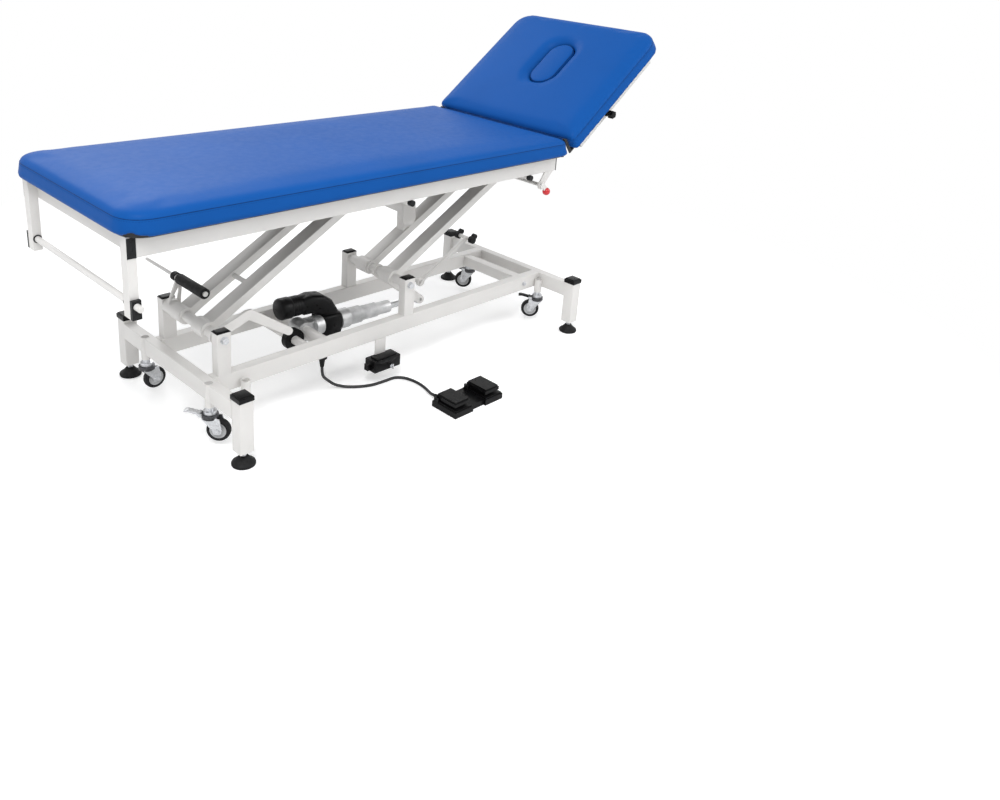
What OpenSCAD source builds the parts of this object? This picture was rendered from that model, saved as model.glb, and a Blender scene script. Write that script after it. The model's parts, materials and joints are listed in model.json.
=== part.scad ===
/* [Bed] */
// Width of the cushions
bed_w = 650; // [600:1:750]
// Length of the main cushion
main_len = 1477; // [1400:1:1600]
// Length of the head cushion
head_len = 545; // [480:1:620]
// Gap between the two cushions when the head section lies flat
cushion_gap = 14; // [13:0.5:20]
// Height of a cushion's seam above its underside
seam_h = 49; // [40:1:65]
// Height of a cushion's crown above its seam
crown_h = 12; // [6:1:18]
// Radius of the cushions' outer corners
cushion_r = 70; // [40:1:100]
// Radius of the cushions' corners at the hinge
hinge_corner_r = 10; // [6:1:16]
// Angle of the head section above the main section
head_angle = 37; // [0:1:60]
// Height of the head hinge's axis above the cushions' underside
hinge_up = 46; // [40:1:52]
// Thickness of the boards under the cushions
board_t = 14; // [10:1:18]
// How far a board stands out below its cushion
board_show = 3; // [2:0.5:4]
// Distance from a board's edge to its cushion's edge
board_inset = 16; // [12:1:24]

/* [Face hole] */
// Length of the face hole
hole_len = 210; // [180:1:240]
// Width of the face hole
hole_w = 110; // [90:1:130]
// Distance from the head cushion's hinge end to the hole's middle
hole_at = 310; // [260:1:340]
// Clearance round the face plug
plug_clear = 2.5; // [1.5:0.5:4]
// Width of the ledge that the face plug rests on
plug_ledge = 10; // [6:1:16]
// How far the face plug's top lies below the crown
plug_sunk = 6; // [3:1:10]

/* [Top frame] */
// Overhang of the cushions past the top frame's sides
overhang = 42; // [34:1:50]
// Distance from the main cushion's foot end to the top frame
foot_overhang = 42; // [34:1:50]
// Distance from the main cushion's hinge end to the top frame
head_overhang = 18; // [12:1:26]
// Height of the top rails
top_rail_h = 51; // [46:1:60]
// Width of the top rails
top_rail_w = 25; // [20:1:35]
// Width of the cross rails that carry the upper pivots
pivot_rail_w = 40; // [36:1:50]
// Wall of the square tubes
wall = 2; // [1.5:0.5:3]
// Distance from the upper pivots up to the top rails
pivot_drop = 37; // [34:1:46]
// Diameter of the accessory tubes
acc_d = 18; // [16:1:22]
// Distance from the foot pivot rail to the first accessory tube
acc_foot = 20; // [20:1:26]
// Distance from the head pivot back to the second accessory tube
acc_head = 117; // [104:1:130]

/* [Arms] */
// Length of the lifting arms between their pivots
arm_len = 578; // [540:1:620]
// Angle of the lifting arms
arm_angle = 30; // [20:1:36]
// Width of a lifting arm
arm_w = 50; // [40:1:55]
// Thickness of a lifting arm
arm_t = 25; // [20:1:30]
// Free width between the two arms of a pair
arm_gap = 66; // [60:1:76]
// Diameter of the bosses on the arms' ends
boss_d = 48; // [44:1:54]
// Diameter of the cross tubes that the arms turn with
cross_d = 30; // [28:1:34]
// Diameter of the upper pivot shafts
shaft_d = 20; // [16:1:22]
// Radial running clearance of the pivots
run_clear = 0.06; // [0.03:0.01:0.1]

/* [Base] */
// Distance between the legs along the table
leg_span = 1310; // [1250:1:1400]
// Distance between the legs across the table
leg_spread = 620; // [560:1:680]
// Width of the legs
leg_w = 40; // [36:1:50]
// Height of the legs' lower ends
leg_bottom = 40; // [36:1:50]
// Height of the legs above the base rails
leg_above = 7; // [4:1:16]
// Top of the base rails above the floor
base_top = 178; // [172:1:200]
// Height of the base rails
base_h = 50; // [44:1:56]
// Width of the base rails
base_w = 32; // [28:1:36]
// Distance between the outer faces of the side rails
base_spread = 320; // [310:1:340]
// Width of the cross bars along the table
bar_w = 30; // [26:1:34]
// Distance from the foot cross bar's outer face to the foot posts' middle
post_in = 61; // [56:1:70]
// Distance from the foot posts to the head posts
post_pitch = 639; // [620:1:660]
// Width of the posts along the table
post_w = 40; // [36:1:46]
// Width of the posts across the table
post_d = 30; // [28:1:32]
// Height of the lower pivots above the base rails
pivot_up = 100; // [94:1:110]
// Height of the posts above their pivots
post_above = 20; // [16:1:26]
// Thickness of the caps on the posts
cap_t = 5; // [4:1:8]
// Thickness of the caps on the legs
leg_cap_t = 17; // [12:1:20]
// Diameter of the pivot bolts
bolt_d = 12; // [10:1:14]

/* [Levelling feet] */
// Diameter of a levelling foot's pad
pad_d = 62; // [56:1:72]
// Height of a levelling foot's pad
pad_h = 26; // [20:1:28]
// Diameter of a levelling foot's stud
stud_d = 14; // [12:1:16]
// Travel of a levelling foot
foot_travel = 20; // [15:1:30]

/* [Castors] */
// Diameter of the castor wheels
wheel_d = 64; // [58:1:74]
// Width of the castor wheels
wheel_w = 22; // [18:1:26]
// Diameter of the castor hubs
hub_d = 44; // [38:1:48]
// Height of the raised castor wheels above the floor
wheel_lift = 13; // [8:1:16]
// Trail of the castors
trail = 22; // [18:1:28]
// Outer diameter of the castor tubes
socket_d = 26; // [25:1:28]
// Diameter of the lifting stems
stem_d = 20; // [18:1:21]
// Gap between a castor tube and the side rail beside it
castor_gap = 0.5; // [0.3:0.1:3]
// Angle that each castor points to
castor_turn = [-48, 5, 132, 132]; // [-180:1:180]

/* [Actuator] */
// Diameter of the cross tube that the actuator turns on
act_tube_d = 40; // [36:1:44]
// Distance from the head posts back to that tube
act_back = 283; // [260:1:300]
// Height of that tube's axis below the rails' top
act_down = 33; // [30:1:36]
// Distance from the head posts forward to the rod end
crank_x = 190; // [180:1:200]
// Distance from the head pivot down to the rod end
crank_z = 150; // [140:1:155]
// Distance of the actuator from the middle of the table
act_y = 12; // [8:1:14]
// Diameter of the actuator's outer tube
act_d = 50; // [44:1:54]
// Diameter of the actuator's rod
rod_d = 22; // [20:1:24]
// Diameter of the motor
motor_d = 62; // [56:1:66]

/* [Paper roll holder] */
// Distance from the top rails' top down to the roll rod
roll_drop = 160; // [140:1:180]
// Width of the holder's uprights across the table
upright_w = 30; // [26:1:34]
// Thickness of the holder's uprights along the table
upright_t = 22; // [18:1:26]
// Diameter of the roll rod
roll_d = 16; // [14:1:18]

/* [Foot control] */
// Diameter of the cord
cord_d = 9; // [8:0.5:10]
// Length of the foot pedal unit
unit_len = 196; // [180:1:210]
// Width of the foot pedal unit
unit_w = 100; // [92:1:112]
// Height of the foot pedal unit's body
unit_h = 22; // [18:1:26]

/* [Hidden] */
$fn = 48;

// Base frame
leg_x = leg_span / 2;
leg_y = leg_spread / 2;
leg_top = base_top + leg_above;
base_z = base_top - base_h;
rail_out = base_spread / 2;
rail_in = rail_out - base_w;
bar_out = leg_x + leg_w / 2;
bar_in = bar_out - bar_w;
cross_bar_x = bar_in - 78;
post_x1 = -bar_out + post_in;
post_x2 = post_x1 + post_pitch;
post_y = rail_out - post_d / 2;
post_in_y = post_y - post_d / 2;
pivot_z = base_top + pivot_up;
post_top = pivot_z + post_above;

// Arms and upper pivots
arm_y = (arm_gap + arm_w) / 2;
arm_out = arm_gap / 2 + arm_w;
rise = arm_len * sin(arm_angle);
reach = arm_len * cos(arm_angle);
up_x1 = post_x1 + reach;
up_x2 = post_x2 + reach;
up_z = pivot_z + rise;
ear_y = arm_out + 7;
ear_t = 8;

// Top frame and cushions
top_z0 = up_z + pivot_drop;
top_z1 = top_z0 + top_rail_h;
bed_z = top_z1 + board_show;
frame_y = bed_w / 2 - overhang;
frame_in = frame_y - top_rail_w;
top_x2 = up_x2 + 3;
main_x2 = top_x2 + head_overhang;
main_x1 = main_x2 - main_len;
top_x1 = main_x1 + foot_overhang;
hinge_x = main_x2 + cushion_gap / 2;
hinge_z = bed_z + hinge_up;
head_s0 = cushion_gap / 2;
head_rail_h = 46;
head_rail_short = 50;
head_rail_s0 = 62;
head_t0 = -hinge_up - board_show - head_rail_h;

// The middle of the table's length, which is the origin
head_tip = hinge_x + max(
    (head_s0 + head_len - 2) * cos(head_angle) + (hinge_up - 3) * sin(head_angle),
    (head_s0 + head_len - head_rail_short) * cos(head_angle) - head_t0 * sin(head_angle)
);
foot_tip = min(main_x1, top_x1 - upright_t / 2 - roll_d / 2 - 7);
mid_x = (foot_tip + head_tip) / 2;

// Castors and feet
castor_z = wheel_lift + wheel_d / 2;
castor_y = rail_out + socket_d / 2 + castor_gap;
tube_x1 = -bar_out + 7;
tube_x2 = bar_in - socket_d / 2;
castor_pos = [[tube_x1, -castor_y], [tube_x1, castor_y], [tube_x2, -castor_y], [tube_x2, castor_y]];
leg_pos = [[-leg_x, -leg_y], [-leg_x, leg_y], [leg_x, -leg_y], [leg_x, leg_y]];
fork_top = castor_z + wheel_d / 2 + 10;
socket_z0 = fork_top + 24;
head_tube_drop = 20;
function tube_top(p) = p[0] > 0 ? base_top - head_tube_drop : base_top + 1;

// Actuator
act_x = post_x2 - act_back;
act_z = base_top - act_down;
end_x = post_x2 + crank_x;
end_z = pivot_z - crank_z;
act_len = sqrt(pow(end_x - act_x, 2) + pow(end_z - act_z, 2));
act_tilt = atan2(end_z - act_z, end_x - act_x);
motor_z = act_tube_d / 2 + motor_d / 2 + 15;

// Castor lift lever
lever_y = arm_out + 22;
grip_x = post_x1 + 19;
grip_z = pivot_z + 84;
grip_d = 30;
grip_y0 = -35;
grip_y1 = 110;

// Cord, in the table's own frame before it is centred
cord_pts = [
    [-293, -145, 94], [-292, -144.5, 78], [-284, -141, 56], [-262, -136, 33], [-240, -139, 14],
    [-215, -155, 5.5], [-188, -176, 4.8], [-162, -190, 4.8], [-136, -198, 4.8], [-98, -201, 4.8],
    [-62, -204, 4.8], [-40, -224, 4.8], [-30, -258, 4.8], [-30, -296, 4.8], [-38, -330, 5.4],
    [-47, -352, 9], [-50, -364, 11.5], [-50, -374, 12]
];
unit_x = 14;
unit_y = -448;

// The whole table, centred along its length on the origin
module place() {
    translate([-mid_x, 0, 0]) children();
}

// Both mirror halves across the table
module both() {
    children();
    mirror([0, 1, 0]) children();
}

// A square tube along X, open at its ends
module box_x(x0, x1, y0, y1, z0, z1) {
    difference() {
        translate([x0, y0, z0]) cube([x1 - x0, y1 - y0, z1 - z0]);
        translate([x0 - 1, y0 + wall, z0 + wall])
            cube([x1 - x0 + 2, y1 - y0 - 2 * wall, z1 - z0 - 2 * wall]);
    }
}

// A square tube along Y, open at its ends
module box_y(x0, x1, y0, y1, z0, z1) {
    difference() {
        translate([x0, y0, z0]) cube([x1 - x0, y1 - y0, z1 - z0]);
        translate([x0 + wall, y0 - 1, z0 + wall])
            cube([x1 - x0 - 2 * wall, y1 - y0 + 2, z1 - z0 - 2 * wall]);
    }
}

// A square tube along Z, open at its ends
module box_z(x0, x1, y0, y1, z0, z1) {
    difference() {
        translate([x0, y0, z0]) cube([x1 - x0, y1 - y0, z1 - z0]);
        translate([x0 + wall, y0 + wall, z0 - 1])
            cube([x1 - x0 - 2 * wall, y1 - y0 - 2 * wall, z1 - z0 + 2]);
    }
}

// A cylinder along Y from y0 to y1
module rod_y(x, z, d, y0, y1) {
    translate([x, y1, z]) rotate([90, 0, 0]) cylinder(d = d, h = y1 - y0);
}

// A cylinder along X from x0 to x1
module rod_x(y, z, d, x0, x1) {
    translate([x0, y, z]) rotate([0, 90, 0]) cylinder(d = d, h = x1 - x0);
}

// A flat plate in the XZ plane from y0 to y1
module plate_xz(pts, y0, y1) {
    translate([0, y1, 0]) rotate([90, 0, 0]) linear_extrude(y1 - y0) polygon(pts);
}

// The head section's own frame: X along it, Z square to it, from the hinge's axis
module on_head() {
    translate([hinge_x, 0, hinge_z]) rotate([0, -head_angle, 0]) children();
}

// Base rails
module side_rail(side) {
    difference() {
        if (side < 0) box_x(-bar_in, bar_in, -rail_out, -rail_in, base_z, base_top);
        else box_x(-bar_in, bar_in, rail_in, rail_out, base_z, base_top);
        rod_y(cross_bar_x, base_z + base_h / 2, 8, side * rail_out - 40, side * rail_out + 40);
    }
}

module side_rail_near() {
    color("#e8e5e0") place() side_rail(-1);
}

module side_rail_far() {
    color("#e8e5e0") place() side_rail(1);
}

module cross_bar(x0, x1) {
    box_y(x0, x1, -leg_y + leg_w / 2, leg_y - leg_w / 2, base_z, base_top);
}

module foot_cross_bar() {
    color("#e8e5e0") place() difference() {
        cross_bar(-bar_out, -bar_in);
        both() translate([tube_x1, castor_y, base_z - 1]) cylinder(d = socket_d, h = base_h + 2);
    }
}

module head_cross_bar() {
    color("#e8e5e0") place() cross_bar(bar_in, bar_out);
}

// Cross tubes between the side rails: one square at the head end, one round beside it, and two for the actuator,
// with the shaft of the pedal bar and the strap that the control box hangs from
module inner_cross_tubes() {
    color("#e8e5e0") place() {
        box_y(cross_bar_x - 15, cross_bar_x + 15, -rail_in, rail_in, base_z + 6, base_z + 44);
        rod_y(cross_bar_x + 46, base_z + 16, 26, -rail_in, rail_in);
        rod_y(act_x, act_z, act_tube_d, -rail_in, rail_in);
        rod_y(buffer_x, buffer_z, buffer_tube, -rail_in, rail_in);
        rod_y(bar_x, bar_z, bar_shaft, bar_y - 12, rail_in);
        translate([box_x0 + 34, -rail_out, box_z1]) cube([40, 4, base_z - box_z1]);
    }
}
buffer_x = act_x - act_tube_d / 2 - 37;
buffer_z = act_z + 1;
buffer_tube = 26;

module legs() {
    color("#e8e5e0") place() for (p = leg_pos)
        box_z(p[0] - leg_w / 2, p[0] + leg_w / 2, p[1] - leg_w / 2, p[1] + leg_w / 2, leg_bottom, leg_top);
}

// Posts on the side rails, drilled for the pivot bolts
module posts() {
    color("#e8e5e0") place() both() for (x = [post_x1, post_x2])
        difference() {
            box_z(x - post_w / 2, x + post_w / 2, post_in_y, post_in_y + post_d, base_top, post_top);
            rod_y(x, pivot_z, bolt_d, 0, rail_out + 5);
        }
}

// Black caps on the legs and posts, the plugs that hold the levelling feet, and the buffer by the actuator
module end_caps() {
    color("#1b1b1d") place() {
        for (p = leg_pos) {
            translate([p[0], p[1], leg_top]) cap(leg_w + 3, leg_w + 3, leg_w - 2 * wall, leg_w - 2 * wall, leg_cap_t);
            translate([p[0], p[1], leg_bottom]) difference() {
                translate([-leg_w / 2 + wall, -leg_w / 2 + wall, 0])
                    cube([leg_w - 2 * wall, leg_w - 2 * wall, foot_travel + 10]);
                translate([0, 0, -1]) cylinder(d = stud_d + 2 * run_clear, h = foot_travel + 12);
            }
        }
        both() for (x = [post_x1, post_x2])
            translate([x, post_y, post_top]) cap(post_w, post_d, post_w - 2 * wall, post_d - 2 * wall, cap_t);
        difference() {
            rod_y(buffer_x, buffer_z, buffer_tube + 40, act_y - 52, act_y - 32);
            rod_y(buffer_x, buffer_z, buffer_tube, act_y - 53, act_y - 31);
        }
    }
}

// A cap with a bevelled top and a shank that fills the tube's end
module cap(w, d, win, din, t) {
    translate([-w / 2, -d / 2, 0]) cube([w, d, t - 3]);
    translate([-w / 2 + 3, -d / 2 + 3, t - 3]) cube([w - 6, d - 6, 3]);
    translate([-win / 2, -din / 2, -7]) cube([win, din, 8]);
}

// Tubes that guide the castor stems, and the spare tube on the near side rail
module castor_tubes() {
    color("#e8e5e0") place() {
        for (p = castor_pos)
            translate([p[0], p[1], socket_z0]) difference() {
                union() {
                    cylinder(d = socket_d, h = tube_top(p) - socket_z0);
                    if (p[0] > 0) translate([0, -8, base_z - socket_z0]) cube([socket_d / 2, 16, base_h - head_tube_drop]);
                }
                translate([0, 0, -1]) cylinder(d = stem_d + 2 * run_clear, h = tube_top(p) - socket_z0 + 2);
            }
        translate([spare_x, -rail_out - socket_d / 2, spare_z0]) difference() {
            cylinder(d = socket_d, h = spare_h);
            translate([0, 0, -1]) cylinder(d = spare_bore, h = spare_h + 2);
        }
    }
}
spare_x = -bar_in + 83;
spare_z0 = base_z - 22;
spare_h = 46;
spare_bore = 20;

// Pivot bolts with heads and nuts, and the small bolts in the rails
module frame_bolts() {
    color("#b9bcc0") place() {
        both() for (x = [post_x1, post_x2]) {
            rod_y(x, pivot_z, bolt_d, post_in_y - 24, rail_out + 1);
            rod_y(x, pivot_z, bolt_d + 10, rail_out, rail_out + 2);
            translate([x, rail_out + 9, pivot_z]) rotate([90, 30, 0]) cylinder(d = bolt_d + 8, h = 7, $fn = 6);
        }
        both() {
            rod_y(cross_bar_x, base_z + base_h / 2, 8, rail_in - 4, rail_out + 1);
            rod_y(cross_bar_x, base_z + base_h / 2, 16, rail_out, rail_out + 2);
            translate([cross_bar_x, rail_out + 7, base_z + base_h / 2]) rotate([90, 0, 0])
                cylinder(d = 13, h = 5, $fn = 6);
        }
    }
}

// A levelling foot: a cone-shaped pad, its stud and its nut
module levelling_foot(i) {
    color("#232325") place() translate([leg_pos[i][0], leg_pos[i][1], 0]) {
        rotate_extrude() polygon([
            [0, 0], [pad_d / 2 - 2, 0], [pad_d / 2, 2], [pad_d / 2, 7],
            [pad_d / 2 - 6, 10], [13, pad_h - 3], [11, pad_h], [0, pad_h]
        ]);
        translate([0, 0, pad_h - 1]) cylinder(d = stud_d, h = leg_bottom + 20 + foot_travel - pad_h);
        translate([0, 0, leg_bottom - 9]) cylinder(d = stud_d + 9, h = 9, $fn = 6);
    }
}

module levelling_foot_1() {
    levelling_foot(0);
}

module levelling_foot_2() {
    levelling_foot(1);
}

module levelling_foot_3() {
    levelling_foot(2);
}

module levelling_foot_4() {
    levelling_foot(3);
}

// Stems that slide in the castor tubes and push the castors down
module castor_stems() {
    color("#b9bcc0") place() for (p = castor_pos)
        translate([p[0], p[1], fork_top + 4]) difference() {
            union() {
                cylinder(d = stem_d, h = tube_top(p) - fork_top - 14);
                cylinder(d = stem_d + 14, h = 10);
            }
            translate([0, 0, -1]) cylinder(d = pin_d + 2 * run_clear, h = 22);
        }
}

pin_d = 11;

// A castor fork, drawn about its swivel axis with the wheel behind it along +X
module fork() {
    translate([0, 0, fork_top]) cylinder(d = pin_d, h = 20);
    translate([0, 0, fork_top - 8]) cylinder(d = 44, h = 11.6);
    for (s = [-1, 1])
        translate([0, s * (wheel_w / 2 + 3.5) + 1.5, 0]) rotate([90, 0, 0]) linear_extrude(3)
            polygon([
                [-18, fork_top - 8], [-18, fork_top - 5], [trail + 6, fork_top - 5],
                [trail + 13, castor_z + 4], [trail + 9, castor_z - 9], [trail - 9, castor_z - 9],
                [trail - 16, castor_z + 6]
            ]);
    translate([-18, -wheel_w / 2 - 5, fork_top - 9]) cube([38, wheel_w + 10, 4]);
    rod_y(trail, castor_z, 8, -wheel_w / 2 - 7, wheel_w / 2 + 7);
    rod_y(trail, castor_z, 13, -wheel_w / 2 - 8, -wheel_w / 2 - 5);
    rod_y(trail, castor_z, 13, wheel_w / 2 + 5, wheel_w / 2 + 8);
}

module at_castor(i) {
    translate([castor_pos[i][0], castor_pos[i][1], 0]) rotate([0, 0, castor_turn[i]]) children();
}

module castor_fork_1() {
    color("#c3c6ca") place() at_castor(0) {
        fork();
        brake_lugs(-1);
    }
}

module castor_fork_2() {
    color("#c3c6ca") place() at_castor(1) fork();
}

module castor_fork_3() {
    color("#c3c6ca") place() at_castor(2) {
        fork();
        brake_lugs(1);
    }
}

module castor_fork_4() {
    color("#c3c6ca") place() at_castor(3) {
        fork();
        brake_lugs(1);
    }
}

// A castor wheel: a tyre on a hub, two solids
module wheel() {
    translate([trail, 0, castor_z]) rotate([90, 0, 0]) {
        rotate_extrude($fn = 96) polygon([
            [hub_d / 2, -wheel_w / 2 + 1], [wheel_d / 2 - 4, -wheel_w / 2 + 1], [wheel_d / 2, -wheel_w / 2 + 6],
            [wheel_d / 2, wheel_w / 2 - 6], [wheel_d / 2 - 4, wheel_w / 2 - 1], [hub_d / 2, wheel_w / 2 - 1]
        ]);
        rotate_extrude() polygon([
            [4 + run_clear, -wheel_w / 2], [9, -wheel_w / 2], [10, -wheel_w / 2 + 5],
            [hub_d / 2 - 4, -wheel_w / 2 + 4], [hub_d / 2 - 0.02, -wheel_w / 2 + 2],
            [hub_d / 2 - 0.02, wheel_w / 2 - 2], [hub_d / 2 - 4, wheel_w / 2 - 4],
            [10, wheel_w / 2 - 5], [9, wheel_w / 2], [4 + run_clear, wheel_w / 2]
        ]);
    }
}

module castor_wheel_1() {
    color("#2a2a2c") place() at_castor(0) wheel();
}

module castor_wheel_2() {
    color("#77797c") place() at_castor(1) wheel();
}

module castor_wheel_3() {
    color("#2a2a2c") place() at_castor(2) wheel();
}

module castor_wheel_4() {
    color("#2a2a2c") place() at_castor(3) wheel();
}

// A brake pedal over the wheel, or ahead of it where dir is -1, on a pin between two lugs
brake_at = 27;
brake_z = fork_top + 2;
module brake(dir) {
    translate([dir * brake_at, 0, brake_z]) difference() {
        union() {
            rod_y(0, 0, 9, -wheel_w / 2 + 2, wheel_w / 2 - 2);
            plate_xz([[dir * 2, 3], [dir * 30, 9], [dir * 40, 7], [dir * 40, 3], [dir * 28, 4], [dir * 2, -2]],
                -wheel_w / 2 + 2, wheel_w / 2 - 2);
        }
        rod_y(0, 0, 4 + 2 * run_clear, -wheel_w, wheel_w);
    }
}

// The two lugs and the pin that carry a brake pedal
module brake_lugs(dir) {
    for (s = [-1, 1])
        plate_xz([
            [dir * 14, fork_top - 5], [dir * 14, fork_top + 3], [dir * (brake_at + 3), fork_top + 5],
            [dir * (brake_at + 5), fork_top], [dir * (brake_at - 2), fork_top - 5]
        ], s * wheel_w / 2 - 1.5, s * wheel_w / 2 + 1.5);
    rod_y(dir * brake_at, brake_z, 4, -wheel_w / 2 - 1.5, wheel_w / 2 + 1.5);
}

module castor_brake_1() {
    color("#b9bcc0") place() at_castor(0) brake(-1);
}

module castor_brake_3() {
    color("#1b1b1d") place() at_castor(2) brake(1);
}

module castor_brake_4() {
    color("#1b1b1d") place() at_castor(3) brake(1);
}

// A pair of lifting arms on its cross tube, hollow between the bosses
module arm_pair(x) {
    both() {
        translate([x, arm_gap / 2, pivot_z]) rotate([0, -arm_angle, 0]) difference() {
            translate([0, 0, -arm_t / 2]) cube([arm_len, arm_w, arm_t]);
            translate([boss_d / 2 + 3, wall, -arm_t / 2 + wall])
                cube([arm_len - boss_d - 6, arm_w - 2 * wall, arm_t - 2 * wall]);
        }
        rod_y(x, pivot_z, boss_d, arm_gap / 2 - 1, arm_out + 1);
        rod_y(x + reach, up_z, boss_d, arm_gap / 2 - 1, arm_out + 1);
    }
    rod_y(x, pivot_z, cross_d, -post_in_y + 0.5, post_in_y - 0.5);
}

// The bores of a pair of lifting arms
module arm_bores(x) {
    rod_y(x, pivot_z, bolt_d + 2 * run_clear, -rail_out, rail_out);
    rod_y(x + reach, up_z, shaft_d + 2 * run_clear, -rail_out, rail_out);
}

module foot_arms() {
    color("#e8e5e0") place() difference() {
        union() {
            arm_pair(post_x1);
            rod_y(post_x1 + 170 * cos(arm_angle), pivot_z + 170 * sin(arm_angle), 14, -arm_gap / 2 - 1, arm_gap / 2 + 1);
        }
        arm_bores(post_x1);
    }
}

// One plate of the crank that the actuator pushes
module crank_plate(y) {
    l = sqrt(crank_x * crank_x + crank_z * crank_z);
    nx = crank_z / l;
    nz = crank_x / l;
    plate_xz([
        [post_x2 + 18 * nx, pivot_z + 18 * nz], [end_x + 14 * nx, end_z + 14 * nz],
        [end_x - 14 * nx, end_z - 14 * nz], [post_x2 - 18 * nx, pivot_z - 18 * nz]
    ], y, y + crank_t);
    rod_y(post_x2, pivot_z, 42, y, y + crank_t);
    rod_y(end_x, end_z, 28, y, y + crank_t);
}
crank_t = 6;

module head_arms() {
    color("#e8e5e0") place() difference() {
        union() {
            arm_pair(post_x2);
            crank_plate(act_y + act_half + 2.5);
            crank_plate(act_y - act_half - 2.5 - crank_t);
        }
        arm_bores(post_x2);
        rod_y(end_x, end_z, bolt_d + 1, -arm_gap / 2, arm_gap / 2);
    }
}
act_half = 11;

// The bent box beam that stands on the far head arm and runs outwards from it
beam_x = post_x2 + 158;
beam_w = 56;
beam_z0 = pivot_z + 157;
beam_z1 = pivot_z + 192;
module bent_beam() {
    color("#e8e5e0") place() difference() {
        union() {
            translate([beam_x - beam_w / 2, arm_gap / 2, beam_z0])
                cube([beam_w, frame_in - 30 - arm_gap / 2, beam_z1 - beam_z0]);
            translate([beam_x - beam_w / 2, arm_gap / 2, beam_z0 - 20]) cube([beam_w, 30, 21]);
            rod_y(beam_x, beam_z0 - 20, beam_w, arm_gap / 2, arm_gap / 2 + 30);
            translate([beam_x - 20, arm_gap / 2 + 5, pivot_z + 60]) cube([40, 38, beam_z0 - pivot_z - 60 + 1]);
        }
        translate([post_x2, arm_gap / 2 - 1, pivot_z]) rotate([0, -arm_angle, 0])
            translate([0, 0, -arm_t * 3]) cube([arm_len, arm_w + 2, arm_t * 3.5]);
        translate([beam_x - beam_w / 2 + 3, arm_gap / 2 + 35, beam_z0 + 3])
            cube([beam_w - 6, frame_in - 68 - arm_gap / 2, beam_z1 - beam_z0 - 6]);
    }
}

// The actuator's own frame: X along it from its rear pivot
module on_act() {
    translate([act_x, act_y, act_z]) rotate([0, -act_tilt, 0]) children();
}

// The gear casting with its ring round the cross tube, and the outer tube
module actuator_body() {
    color("#a7aaad") place() on_act() {
        difference() {
            union() {
                rod_y(0, 0, act_tube_d + 22, -26, 26);
                translate([18, -22, -24]) cube([gear_x - 18, 44, 50]);
                rod_x(-8, 4, 58, gear_x - 28, gear_x);
            }
            rod_y(0, 0, act_tube_d + 2 * run_clear, -40, 40);
        }
        translate([gear_end, 0, 0]) rotate([0, 90, 0]) difference() {
            rotate_extrude() polygon([
                [0, 0], [act_d / 2 + 7, 0], [act_d / 2 + 7, 34], [act_d / 2 + 3, 38], [act_d / 2 + 3, 84],
                [act_d / 2 - 1, 88], [act_d / 2 - 1, 150], [act_d / 2 - 4, 154], [act_d / 2 - 4, 205],
                [0, 205]
            ]);
            translate([0, 0, 6]) cylinder(d = rod_d + 2 * run_clear, h = 210);
        }
    }
}

// The motor beside the actuator, its cover and the black housing of the gears
module actuator_motor() {
    color("#1b1b1d") place() on_act() {
        translate([gear_x + 0.1, -30, -36]) cube([gear_end - gear_x - 0.2, 76, 70]);
        translate([60, 42, 74]) rotate([90, 0, 0]) linear_extrude(motor_d - 14)
            polygon([[26, 20], [56, 8], [78, -20], [78, -60], [28.1, -60], [28.1, -38], [20, -30]]);
        rod_x(motor_y, motor_z, motor_d, -40, 86);
        rod_x(motor_y, motor_z, motor_d + 6, -62, -20);
    }
}
motor_y = 32;
gear_x = 66;
gear_end = 138;

module actuator_rod() {
    color("#c3c6ca") place() on_act() {
        rod_x(0, 0, rod_d, 212, act_len - 12);
        rod_y(act_len, 0, 34, -act_half, act_half);
        rod_y(act_len, 0, bolt_d, -act_half - 1.8, act_half + 1.8);
    }
}

// Castor lift: the hand lever that turns on the foot cross tube, with its cross rod
module lift_lever() {
    color("#e8e5e0") place() difference() {
        union() {
            rod_y(post_x1, pivot_z, cross_d + 14, arm_out + 4, post_in_y - 3);
            difference() {
                plate_xz([
                    [post_x1 - 20, pivot_z + 6], [post_x1 + 20, pivot_z + 6],
                    [grip_x + 9, grip_z], [grip_x - 9, grip_z]
                ], lever_y - 4, lever_y + 4);
                plate_xz([
                    [post_x1 - 7, pivot_z + 24], [post_x1 + 13, pivot_z + 24], [grip_x, grip_z - 18]
                ], lever_y - 5, lever_y + 5);
            }
            rod_y(grip_x, grip_z, 20, lever_y - 6, lever_y + 6);
            rod_y(grip_x, grip_z, 14, grip_y0 - 4, lever_y);
            rod_y(grip_x, grip_z, 10, lever_y, leg_y - leg_w / 2);
        }
        rod_y(post_x1, pivot_z, cross_d + 2 * run_clear, arm_out, post_in_y);
    }
}

// The lever's black grip and the knob at its far end
module lever_grip() {
    color("#1b1b1d") place() {
        difference() {
            rod_y(grip_x, grip_z, grip_d, grip_y0, lever_y - 6);
            rod_y(grip_x, grip_z, 14, grip_y0 - 10, lever_y);
        }
        difference() {
            rod_y(grip_x, grip_z, 26, lever_y + 6, lever_y + 24);
            rod_y(grip_x, grip_z, 10, lever_y, lever_y + 30);
        }
    }
}

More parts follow.
